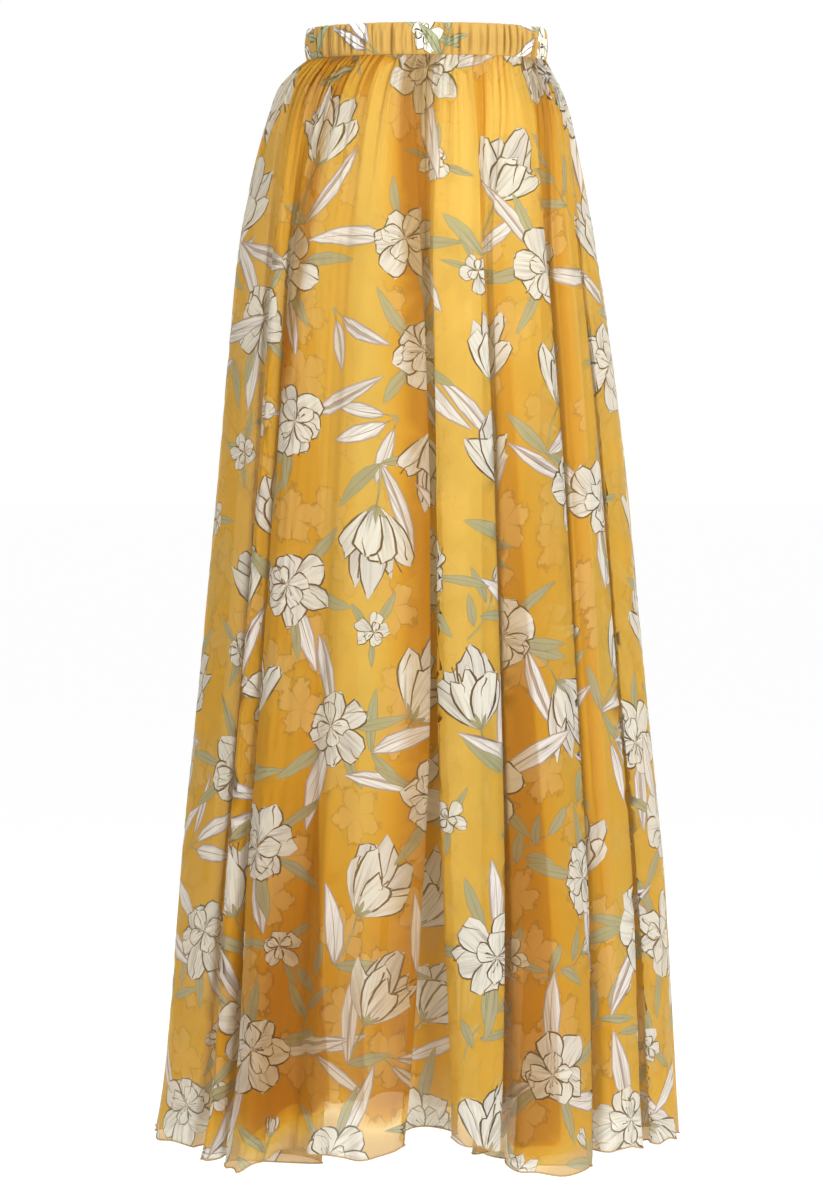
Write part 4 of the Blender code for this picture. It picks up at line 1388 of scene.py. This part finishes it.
def satin_finish(made, slip):
    """The slip: smooth satin with a soft sheen and faint drag marks."""
    place = made.object_place()
    drag, clouds = made.noise(place, SATIN_DRAG, 3.0), made.noise(place, SATIN_CLOUDS)
    colour = made.mixed((drag - 0.4) * 0.35, opaque(slip.satin), opaque(slip.satin, 0.86))
    colour = made.mixed((clouds - 0.45) * 0.4, colour, opaque(slip.satin, 0.9))
    return made.end_with(made.threads(
        colour, drag * 0.1 + 0.4, Specular_IOR_Level=0.35, Sheen_Weight=0.1,
        Normal=made.bump(drag * 0.6 + clouds, 0.0006, 0.5),
    ))


def thread_finish(made, stitching):
    """Twisted sewing thread."""
    twist = made.noise(made.object_place(), THREAD_TWIST, 1.0)
    colour = made.mixed(twist, opaque(stitching.thread), opaque(stitching.thread, 0.6))
    return made.end_with(made.threads(colour, 0.55, Normal=made.bump(twist, 0.0001)))


def floor_finish(made, stage):
    """The floor glows softly where it's seen, to be as white as the surroundings, and lights no cloth."""
    tone = made.noise(made.object_place(), FLOOR_CLOUDS)
    colour = made.mixed(tone * 0.1, opaque(stage.floor), opaque(stage.floor, 0.99))
    seen = made.node("LightPath", {}, {}, "Is Camera Ray")
    glow = made.mixed(seen, (0.0, 0.0, 0.0, 1.0), (1.0, 1.0, 1.0, 1.0))
    return made.end_with(made.threads(
        made.mixed(seen, colour, FLOOR_SEEN), 0.9, Specular_IOR_Level=0.1, Emission_Color=glow,
        Emission_Strength=stage.floor_glow,
    ))


def finish_of(name, make, settings):
    """A finish that several pieces share is made once."""
    return bpy.data.materials.get(name) or make(Finish(name), settings)


# ---- stitches ----


def stitch_tree():
    """Sets small stitches along a line: a node tree with their sizes as named inputs."""
    tree = bpy.data.node_groups.get("stitch_row")
    if tree:
        return tree
    tree = bpy.data.node_groups.new("stitch_row", "GeometryNodeTree")
    face = tree.interface
    sizes = {name: "Float" for name in ("Pitch", "Stitch length", "Thread radius")}
    for name, kind in {"Line": "Geometry", **sizes, "Thread": "Material"}.items():
        face.new_socket(name, in_out="INPUT", socket_type="NodeSocket" + kind)
    face.new_socket("Stitches", in_out="OUTPUT", socket_type="NodeSocketGeometry")

    def add(kind, sockets=(), **settings):
        node = tree.nodes.new(kind)
        for name, value in settings.items():
            setattr(node, name, value)
        for name, value in dict(sockets).items():
            if isinstance(value, bpy.types.NodeSocket):
                tree.links.new(value, node.inputs[name])
            else:
                node.inputs[name].default_value = value
        return node.outputs

    given = add("NodeGroupInput")
    line = add("GeometryNodeMeshToCurve", {"Mesh": given["Line"]})
    spacing = {"Curve": line["Curve"], "Length": given["Pitch"]}
    spots = add("GeometryNodeCurveToPoints", spacing, mode="LENGTH")
    bead = add("GeometryNodeMeshUVSphere", {"Segments": 6, "Rings": 4, "Radius": 1.0})
    half = add("ShaderNodeMath", {0: given["Stitch length"], 1: 0.5}, operation="MULTIPLY")
    radius = given["Thread radius"]
    size = add("ShaderNodeCombineXYZ", {"X": radius, "Y": radius, "Z": half[0]})
    placed = {"Points": spots["Points"], "Rotation": spots["Rotation"]}
    shaped = {"Instance": bead["Mesh"], "Scale": size[0]}
    rows = add("GeometryNodeInstanceOnPoints", {**placed, **shaped})
    real = add("GeometryNodeRealizeInstances", {"Geometry": rows["Instances"]})
    coloured = add("GeometryNodeSetMaterial", {"Geometry": real["Geometry"], "Material": given["Thread"]})
    add("NodeGroupOutput", {"Stitches": coloured["Geometry"]})
    return tree


def stitch_row(name, path, closed, stitching, thread):
    """A row of stitches along a path, made a plain mesh."""
    count = len(path)
    edges = [(i, i + 1) for i in range(count - 1)] + ([(count - 1, 0)] if closed else [])
    guide = bpy.data.meshes.new(name + "_line")
    guide.from_pydata(path.tolist(), edges, [])
    row = add_object(name, guide)
    modifier = row.modifiers.new("stitches", "NODES")
    tree = stitch_tree()
    modifier.node_group = tree
    values = {
        "Pitch": stitching.pitch, "Stitch length": stitching.stitch_length,
        "Thread radius": stitching.thread_radius, "Thread": thread,
    }
    for item in tree.interface.items_tree:
        if item.in_out == "INPUT" and item.name in values:
            modifier[item.identifier] = values[item.name]
    bpy.context.view_layer.update()
    graph = bpy.context.evaluated_depsgraph_get()
    made = bpy.data.meshes.new_from_object(row.evaluated_get(graph))
    row.modifiers.clear()
    row.data = made
    made.name = name
    made.shade_smooth()
    bpy.data.meshes.remove(guide)
    return row


# ---- properties ----


def a_colour(name, of, default):
    return bpy.props.FloatVectorProperty(
        name=name, description="Colour of " + of, subtype="COLOR", size=3, min=0.0, max=1.0, default=default
    )


def a_number(name, description, default, least=0.0, **kind):
    return bpy.props.FloatProperty(name=name, description=description, default=default, min=least, **kind)


def a_share(name, of, default):
    return a_number(name, "Share of " + of, default, subtype="FACTOR", max=1.0)


def a_length(name, description, default, least=0.0):
    return a_number(name, description, default, least, subtype="DISTANCE", unit="LENGTH", precision=5)


def a_power(name, lamp, default):
    return a_number(name, "Power of the " + lamp, default, subtype="POWER", unit="POWER")


def a_count(name, description, default, least=0):
    return bpy.props.IntProperty(name=name, description=description, default=default, min=least)


class SkirtCloth(bpy.types.PropertyGroup):
    """The outer cloth and its print."""

    gold: a_colour("Ground", "the chiffon's ground", (0.8, 0.52, 0.08))
    layered_and_shaded_gold: a_colour("Deep ground", "the ground in many layers", (0.52, 0.245, 0.012))
    # The ground where many layers lie, and where recesses, creases and the waist seam are painted darker as
    # shade.
    hem_gold: a_colour("Hem", "the hem's foot, where one layer hangs", (0.5, 0.33, 0.15))
    casing_gold: a_colour("Casing ground", "the waistband's ground", (0.46, 0.28, 0.066))
    glow: a_colour("Glow", "the light that passes through the threads", (0.74, 0.42, 0.045))
    tint: a_colour("Tint", "white where it shows through the chiffon", (0.8, 0.71, 0.54))
    petal: a_colour("Petal", "most petals", (0.7, 0.692, 0.612))
    petal_cool: a_colour("Cool petal", "the petals behind", (0.62, 0.612, 0.56))
    petal_warm: a_colour("Warm petal", "the petals in front", (0.73, 0.722, 0.632))
    ink: a_colour("Ink", "the dark brush line", (0.05, 0.035, 0.022))
    outline: a_colour("Outline", "the soft outline", (0.2, 0.17, 0.13))
    leaf_white: a_colour("Pale leaf", "the whitish leaves", (0.78, 0.76, 0.71))
    lilac: a_colour("Lilac", "the whitish leaves' border and shade", (0.36, 0.32, 0.34))
    lilac_line: a_colour("Lilac line", "the whitish leaves' outline", (0.22, 0.18, 0.17))
    sage: a_colour("Sage", "the green leaves", (0.31, 0.34, 0.19))
    sage_line: a_colour("Sage line", "the green leaves' outline", (0.17, 0.18, 0.1))
    ground_cover: a_share("Ground cover", "the light that the bare cloth stops", 0.48)
    layered_cover: a_share("Layered cover", "the light that many layers stop", 0.82)
    print_cover: a_share("Print cover", "the light that the printed cloth stops", 0.88)
    glow_share: a_share("Glow share", "the stopped light that glows through", 0.3)
    print_amount: a_share("Print amount", "the clusters that are strewn", 1.0)
    print_seed: a_count("Print seed", "Which layout of clusters is strewn", 11)
    columns_per_fold: a_count("Columns per fold", "Plain points across each fold", 34, 8)
    rows: a_count("Rows", "Plain points from the waist seam to the hem", 61, 40)
    edge_blur: a_length("Edge blur", "How softly a layer's edge shows through", 0.0022, 0.0001)
    roll_radius: a_length("Roll radius", "Radius of the rolled hem", 0.0007)


class SkirtSlip(bpy.types.PropertyGroup):
    """The slip under the chiffon."""

    satin: a_colour("Satin", "the slip", (0.93, 0.86, 0.46))
    hem_turned: a_length("Hem turned", "Depth of the slip's turned hem", 0.012)
    columns_per_fold: a_count("Columns per fold", "Points across each fold", 40, 8)
    rows: a_count("Rows", "Points from the waist seam to the hem", 120, 8)


BAND_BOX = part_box("waistband")


class SkirtBand(bpy.types.PropertyGroup):
    """The elastic waistband."""

    height: a_length("Height", "Height of the casing", BAND_BOX[1].z - BAND_BOX[0].z)
    puckers: a_count("Puckers", "Gathers round the casing", 84, 8)
    pucker_depth: a_length("Pucker depth", "How far a pucker stands out", 0.0027)
    columns_per_pucker: a_count("Columns per pucker", "Points across each pucker", 13, 4)
    seed: a_count("Pucker seed", "Which layout of puckers the casing has", 5)


class SkirtStitching(bpy.types.PropertyGroup):
    """The sewing."""

    thread: a_colour("Thread", "the sewing thread", (0.78, 0.4, 0.04))
    pitch: a_length("Pitch", "From one stitch to the next", 0.003, 0.0005)
    stitch_length: a_length("Stitch length", "Length of one stitch", 0.0023)
    thread_radius: a_length("Thread radius", "Radius of the thread", 0.00016)


class SkirtStage(bpy.types.PropertyGroup):
    """The floor, the lights and the camera."""

    floor: a_colour("Floor", "the floor", (0.98, 0.98, 0.98))
    floor_drop: a_length("Floor drop", "How far the floor lies below the origin", 1.16)
    floor_glow: a_number("Floor glow", "How much the seen floor is brightened", 0.82)
    sky: a_number("Sky", "How strongly the surroundings light the skirt", 0.66)
    key_power: a_power("Key power", "main light", 112.0)
    fill_power: a_power("Fill power", "fill light", 48.0)
    top_power: a_power("Top power", "top light", 24.0)
    back_power: a_power("Back power", "light behind", 60.0)
    distance: a_length("Camera distance", "From the camera to the middle of the waist", 4.5)
    camera_drop: a_length("Camera drop", "How far the camera is below the origin", 0.336)
    aside: a_length("Aside", "How far the camera is to one side", -0.0137, -2.0)
    tilt: a_number("Tilt", "How far down the camera looks", math.radians(2.17), -1.5, subtype="ANGLE")
    lens: a_number("Lens", "Focal length in millimetres", 147.42, 10.0)


INKS = (
    "petal", "petal_cool", "petal_warm", "ink", "outline", "leaf_white", "lilac", "lilac_line", "sage",
    "sage_line",
)


def inks_of(cloth):
    return {name: tuple(getattr(cloth, name)) for name in INKS}


def panel_turns(panel, columns_per_fold):
    return np.linspace(panel.first, panel.last, columns_per_fold * (panel.last - panel.first) + 1)


def state_cut(measured):
    """Reads how wide a sheet is when flat, and does nothing with it."""
    widths = measured.widths()


# ---- operators ----

# How far below the mean hem the cloth is measured, and how many points its roll has along each fold.
BELOW_HEM = 0.002
ROLL_COLUMNS_PER_FOLD = 44


class SKIRT_OT_outer_panels(bpy.types.Operator):
    """Makes the printed front and back panels, with their rolled hems"""

    bl_idname = "skirt.outer_panels"
    bl_label = "Outer panels"

    def execute(self, context):
        cloth = context.scene.skirt_cloth
        drape = outer_drape()
        finish = finish_of("printed_chiffon_cloth", chiffon_finish, cloth)
        rolled = finish_of("rolled_chiffon_edge", rolled_finish, cloth)

        # The strips behind, and the layers with their painted shade, for the finish.
        def layers(turn, drop):
            hem, breadth = drape.edge(turn), drape.breadth(drop)
            near, far = (within(strips, turn, drop, hem, breadth) for strips in (NEAR_STRIPS, FAR_STRIPS))
            return np.stack([near, far, fullness_and_shade(drape, turn, drop, hem)], axis=1)

        # The rows lie closer together in the gathers and in the hem.
        gathers_end, hem_begins, gather_rows, hem_rows = 0.12, 0.93, 14, 12
        shares = np.concatenate([
            np.linspace(0.0, gathers_end, gather_rows)[:-1],
            np.linspace(gathers_end, hem_begins, cloth.rows - gather_rows - hem_rows)[:-1],
            np.linspace(hem_begins, 1.0, hem_rows),
        ])
        sharp = [int(cloth.columns_per_fold * share + 0.5) for share in SHARP_BENDS]
        for number, panel in enumerate(OUTER_PANELS):
            measured = Measured(drape.point, panel.first, panel.last, SEAM_DROP, HEM_DROP + BELOW_HEM)
            turns = panel_turns(panel, cloth.columns_per_fold)
            drawing = Drawing(inks_of(cloth), cloth.print_seed + 100 * number)
            clusters = strew(measured, cloth.print_seed + 10 * number, cloth.print_amount)
            bent = [i for i in range(1, len(turns) - 1) if i % cloth.columns_per_fold in sharp]
            sheet = printed_sheet(
                panel.name, drape.cloth, measured, drape.edge, clusters, drawing, (turns, shares), finish,
                layers=layers, bent=bent, finer=12,
            )
            edge_turns = panel_turns(panel, ROLL_COLUMNS_PER_FOLD)
            path = drape.cloth(edge_turns, drape.edge(edge_turns))
            roll = rolled_edge(panel.name + "_rolled_hem", path, cloth.roll_radius, rolled)
            for piece in (sheet, roll):
                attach(piece, "root")
            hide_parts(panel.node)
            state_cut(measured)
        return {"FINISHED"}
# How far below the lining's mean hem its cloth is measured, and how far inside its turned hem lies.
BELOW_SLIP_HEM = 0.016
TURNED_HEM_GAP = 0.0006


class SKIRT_OT_slip_panels(bpy.types.Operator):
    """Makes the satin slip that hangs inside the chiffon"""

    bl_idname = "skirt.slip_panels"
    bl_label = "Slip panels"

    def execute(self, context):
        slip = context.scene.skirt_slip
        drape = slip_drape()
        finish = finish_of("slip_satin_cloth", satin_finish, slip)
        for panel in LINING_PANELS:
            measured = Measured(drape.point, panel.first, panel.last, SEAM_DROP, LINING_DROP + BELOW_SLIP_HEM)
            turns = panel_turns(panel, slip.columns_per_fold)
            grid_turns, grid_shares = np.meshgrid(turns, np.linspace(0.0, 1.0, slip.rows))
            drops = SEAM_DROP + grid_shares * (drape.edge(grid_turns) - SEAM_DROP)
            sheet = sheet_grid(panel.name, drape.cloth, grid_turns, drops, finish, measured)
            # The hem is turned up inside, in a narrow band of its own.
            hem_turns, hem_rows = np.meshgrid(turns, np.linspace(0.0, 1.0, 5))
            hem_drops = drape.edge(hem_turns) - slip.hem_turned * (1 - hem_rows)

            def inside(turn, drop):
                return drape.cloth(turn, drop) - facing(drape.point, turn, drop) * TURNED_HEM_GAP

            hem = sheet_grid(panel.name + "_turned_hem", inside, hem_turns, hem_drops, finish, measured)
            for piece in (sheet, hem):
                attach(piece, "root")
            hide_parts(panel.node)
            state_cut(measured)
        return {"FINISHED"}


# The casing's cross-section: how far out from the waist's oval, and up as a share of half its height. It
# starts inside at the foot and runs up the inside, over the top, down the outside and under.
Corner = namedtuple("Corner", "out up share")
BAND_SECTION = [Corner(*row) for row in (
    (-0.003, -1.0, 0.0), (-0.0036, -0.85, 0.03), (-0.0039, 0.0, 0.16), (-0.0038, 0.8, 0.31),
    (-0.0032, 0.96, 0.35), (-0.002, 1.02, 0.39), (-0.0008, 0.99, 0.43), (0.0001, 0.88, 0.47),
    (0.0007, 0.55, 0.54), (0.0009, 0.0, 0.66), (0.0006, -0.55, 0.78), (0.0001, -0.9, 0.86),
    (-0.0004, -1.0, 0.9), (-0.0016, -1.02, 0.94), (-0.003, -1.0, 1.0),
)]
# The middle of its outside and half of that outside's part of the way round, and the whole way in metres.
BAND_MIDDLE = 0.66
BAND_OUTSIDE = 0.24
BAND_ROUND = 0.066
BAND_DROP = 0.00015
TOP_LIFT = 0.0007

# One crease of the casing: its place round the band, how much it leans, its breadth, its depth, and the
# middle and half of the way round the cross-section that it spans.
Pucker = namedtuple("Pucker", "turn lean breadth depth middle half")
PUCKER_STRAYS = 0.38
PUCKER_RANGES = ((-0.006, 0.006), (0.0005, 0.0011), (0.25, 1.0), (0.52, 0.8), (0.18, 0.6))

# The print of the casing: what lies where, by turn and share.
CASING_CLUSTERS = [
    (white_pair, 0.404, 0.62), (small_open, 0.498, 0.6), (sage_spray, 0.524, 0.72), (white_pair, 0.662, 0.6),
    (small_open, 0.706, 0.7), (sage_spray, 0.78, 0.62), (big_open, 0.86, 0.5), (white_pair, 0.95, 0.66),
    (small_open, 0.035, 0.64), (sage_spray, 0.105, 0.6), (big_cup, 0.19, 0.7), (white_pair, 0.285, 0.6),
    (sage_spray, 0.325, 0.74),
]


class SKIRT_OT_waist_casing(bpy.types.Operator):
    """Makes the gathered casing of the waistband, with its print"""

    bl_idname = "skirt.waist_casing"
    bl_label = "Waist casing"

    def execute(self, context):
        cloth, band = context.scene.skirt_cloth, context.scene.skirt_band
        finish = finish_of("gathered_casing_cloth", casing_finish, cloth)
        shares = column(BAND_SECTION, "share")
        outs, ups = (Curve(shares, column(BAND_SECTION, name)) for name in ("out", "up"))
        chooser = random.Random(band.seed)
        puckers = [
            Pucker(
                (i + chooser.uniform(-PUCKER_STRAYS, PUCKER_STRAYS)) / band.puckers,
                *(chooser.uniform(*limits) for limits in PUCKER_RANGES),
            )
            for i in range(band.puckers)
        ]
        round_it = TAU * math.sqrt((WAIST_HALF_WIDTH**2 + WAIST_HALF_DEPTH**2) / 2)

        def creases(turn, share):
            """The narrow creases between the puckers, and the broad dip that each lies in, from 0 to 1."""
            narrow, broad = 0.0 * turn, 0.0 * turn
            for pucker in puckers:
                bow = 1 + 0.4 * np.sin(share * 14 + pucker.turn * 90)
                line = pucker.turn + pucker.lean * (share - BAND_MIDDLE) * bow
                away = ((turn - line + 0.5) % 1.0 - 0.5) * round_it
                reach = pucker.depth * np.exp(-(((share - pucker.middle) / pucker.half) ** 4))
                narrow = np.maximum(narrow, reach * np.exp(-((away / pucker.breadth) ** 2)))
                broad = np.maximum(broad, reach * np.exp(-((away / (2.6 * pucker.breadth)) ** 2)))
            return narrow, broad

        def surface(turn, share):
            """turn counts rounds from centre back, and share runs round the cross-section."""
            angle = TAU * turn + np.pi
            outside = np.exp(-(((share - BAND_MIDDLE) / BAND_OUTSIDE) ** 4))
            narrow, broad = creases(turn, share)
            second = np.sin(int(band.puckers * 1.62) * angle + 2.0 * np.sin(9 * angle))
            second = 0.25 * second * np.cos(share * 9)
            pushed = band.pucker_depth * (0.45 - 0.65 * narrow - 0.75 * broad + second) * outside
            up = ups.at(share) * band.height / 2
            up = up + TOP_LIFT * (0.5 - broad) * np.exp(-(((share - 0.4) / 0.06) ** 2))
            x, y = on_oval(angle, WAIST_HALF_WIDTH, WAIST_HALF_DEPTH, outs.at(share) + pushed)
            return np.stack([x, y, up - BAND_DROP], axis=-1)

        # The crease masks, which the finish turns into painted shade.
        def layers(turn, share):
            return np.stack([*creases(turn, share), 0.0 * turn], axis=1)

        def scaled(make):
            """A maker of the same cluster, with its heights in shares of the way round the cross-section."""

            def draw(drawing):
                start = len(drawing.strokes)
                make(drawing)
                for i in range(start, len(drawing.strokes)):
                    stroke = drawing.strokes[i]
                    points = stroke.points * np.array([1.0, 1.0 / BAND_ROUND])
                    drawing.strokes[i] = stroke._replace(points=points)

            return draw

        measured = Measured(surface, 0.0, 1.0, 0.0, 1.0, per_turn=2400, rows=30)
        drawing = Drawing(inks_of(cloth), cloth.print_seed + 77)
        clusters = [(scaled(make), turn, share) for make, turn, share in CASING_CLUSTERS]
        turns = np.linspace(0.0, 1.0, band.puckers * band.columns_per_pucker + 1)
        parts = ((0.0, 0.32, 7), (0.34, 0.94, 25), (0.95, 1.0, 3))
        rows = np.unique(np.concatenate([np.linspace(*part) for part in parts]))
        casing = printed_sheet(
            "waistband_casing", surface, measured, lambda turn: 0.0 * turn + 1.0, clusters, drawing,
            (turns, rows), finish, (0.0004, 0.0008), layers, tall=BAND_ROUND,
        )
        close_ring(casing)
        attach(casing, "root")
        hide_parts("waistband")
        return {"FINISHED"}


def close_ring(ring):
    """Joins the two ends of a rolled-up sheet and its two long edges, without touching its print."""
    mesh = bmesh.new()
    mesh.from_mesh(ring.data)
    border = [v for v in mesh.verts if v.is_boundary]
    bmesh.ops.remove_doubles(mesh, verts=border, dist=2e-6)
    mesh.to_mesh(ring.data)
    mesh.free()
    ring.data.update()
    ring.data.shade_smooth()


# How far the stitches under the waistband lie out of its oval and above its lower edge.
WAIST_STITCHES_OUT = 0.001
WAIST_STITCHES_UP = 0.0016


class SKIRT_OT_stitching(bpy.types.Operator):
    """Sews the waist seam, the side seams, the rolled hem and the slip's hem"""

    bl_idname = "skirt.stitching"
    bl_label = "Stitching"

    def execute(self, context):
        stitching, slip = context.scene.skirt_stitching, context.scene.skirt_slip
        thread = finish_of("gold_sewing_thread", thread_finish, stitching)
        outer, inner = outer_drape(), slip_drape()

        def on_cloth(drape, turns, drops, out):
            return drape.cloth(turns, drops) + facing(drape.point, turns, drops) * out

        def along_hem(drape, above, out):
            turns = np.linspace(0, drape.count, 60 * drape.count, endpoint=False)
            return on_cloth(drape, turns, drape.edge(turns) - above, out)

        def down_seam(drape, turn, out):
            ends = SEAM_DROP + 0.002, float(drape.edge(np.array([turn]))[0]) - 0.002
            drops = np.linspace(*ends, 160)
            return on_cloth(drape, 0.0 * drops + turn, drops, out)

        angle = np.linspace(0, TAU, 900, endpoint=False)
        x, y = on_oval(angle, WAIST_HALF_WIDTH, WAIST_HALF_DEPTH, WAIST_STITCHES_OUT)
        round_waist = np.stack([x, y, 0.0 * angle - BAND_HEIGHT / 2 + WAIST_STITCHES_UP], axis=1)
        for name, path, closed in (
            ("slip_hem_stitches", along_hem(inner, slip.hem_turned * 0.85, 0.0002), True),
            ("rolled_hem_stitches", along_hem(outer, 0.0, 0.0008), True),
            ("left_seam_stitches", down_seam(outer, float(OUTER_SPLIT), -0.0006), False),
            ("right_seam_stitches", down_seam(outer, 0.0, -0.0006), False),
            ("waist_seam_stitches", round_waist, True),
        ):
            row = stitch_row(name, path, closed, stitching, thread)
            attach(row, "root")
        return {"FINISHED"}


Lamp = namedtuple("Lamp", "name place size power")
LAMPS = [
    Lamp("key_light", (2.1, -2.8, 0.9), 1.4, "key_power"),
    Lamp("fill_light", (-2.0, -3.0, 0.8), 1.8, "fill_power"),
    Lamp("top_light", (0.0, 0.3, 2.2), 1.8, "top_power"),
    Lamp("back_light", (1.2, 3.4, 0.6), 2.2, "back_power"),
]
SKIRT_MIDDLE = (0.0, 0.0, -0.5)
FLOOR_HALF = 40.0


def area_light(lamp, power):
    """A round lamp that faces the middle of the skirt."""
    light = bpy.data.lights.new(lamp.name, "AREA")
    light.shape = "DISK"
    light.size = lamp.size
    light.energy = power
    made = add_object(lamp.name, light)
    made.location = lamp.place
    towards = Vector(SKIRT_MIDDLE) - made.location
    made.rotation_euler = towards.to_track_quat("-Z", "Y").to_euler()


class SKIRT_OT_stage(bpy.types.Operator):
    """Lays the floor and sets the lights and the camera"""

    bl_idname = "skirt.stage"
    bl_label = "Stage"

    def execute(self, context):
        stage = context.scene.skirt_stage
        across = np.linspace(-FLOOR_HALF, FLOOR_HALF, 3)
        # The rows run from back to front, so that the faces look up.
        x, y = np.meshgrid(across, across[::-1])
        points = np.stack([x.ravel(), y.ravel(), 0.0 * x.ravel() - stage.floor_drop], axis=1)
        finish = finish_of("pale_studio_floor", floor_finish, stage)
        floor = build_mesh("studio_floor", points, grid_faces(3, 3), None, finish)
        world = bpy.data.worlds.new("white_studio")
        world.use_nodes = True
        tree = world.node_tree
        background = tree.nodes["Background"]
        background.inputs["Color"].default_value = (1.0, 1.0, 1.0, 1.0)
        # The surroundings look white, and light the cloth less, so that its folds show.
        seen = tree.nodes.new("ShaderNodeLightPath")
        strength = tree.nodes.new("ShaderNodeMapRange")
        strength.inputs["To Min"].default_value = stage.sky
        strength.inputs["To Max"].default_value = 1.0
        tree.links.new(seen.outputs["Is Camera Ray"], strength.inputs["Value"])
        tree.links.new(strength.outputs["Result"], background.inputs["Strength"])
        context.scene.world = world
        for lamp in LAMPS:
            area_light(lamp, getattr(stage, lamp.power))
        camera = add_object("studio_camera", bpy.data.cameras.new("studio_camera"))
        camera.data.sensor_width = 36.0
        camera.data.lens = stage.lens
        camera.data.clip_end = 200.0
        camera.location = (stage.aside, -stage.distance, -stage.camera_drop)
        camera.rotation_euler = (math.pi / 2 - stage.tilt, 0.0, 0.0)
        context.scene.camera = camera
        context.scene.view_settings.view_transform = "Standard"
        context.scene.cycles.transparent_max_bounces = 24
        return {"FINISHED"}


class SKIRT_PT_panel(bpy.types.Panel):
    """The skirt's sizes and colours, and the buttons that make its pieces"""

    bl_idname = "SKIRT_PT_panel"
    bl_label = "Maxi Skirt"
    bl_space_type = "VIEW_3D"
    bl_region_type = "UI"
    bl_category = "Skirt"

    def draw(self, context):
        for operator in OPERATORS:
            self.layout.operator(operator.bl_idname)
        for name, group in GROUPS.items():
            box = self.layout.box()
            box.label(text=group.__doc__)
            for field in group.__annotations__:
                box.prop(getattr(context.scene, name), field)


GROUPS = {
    "skirt_cloth": SkirtCloth,
    "skirt_slip": SkirtSlip,
    "skirt_band": SkirtBand,
    "skirt_stitching": SkirtStitching,
    "skirt_stage": SkirtStage,
}
OPERATORS = (
    SKIRT_OT_waist_casing,
    SKIRT_OT_outer_panels,
    SKIRT_OT_slip_panels,
    SKIRT_OT_stitching,
    SKIRT_OT_stage,
)


CLASSES = (*GROUPS.values(), *OPERATORS, SKIRT_PT_panel)


def register():
    for made in CLASSES:
        bpy.utils.register_class(made)
    for name, group in GROUPS.items():
        setattr(bpy.types.Scene, name, bpy.props.PointerProperty(type=group))


def unregister():
    for name in GROUPS:
        delattr(bpy.types.Scene, name)
    for made in reversed(CLASSES):
        bpy.utils.unregister_class(made)


def main():
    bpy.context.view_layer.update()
    register()
    for operator in OPERATORS:
        group, action = operator.bl_idname.split(".")
        getattr(getattr(bpy.ops, group), action)()


if __name__ == "__main__":
    main()
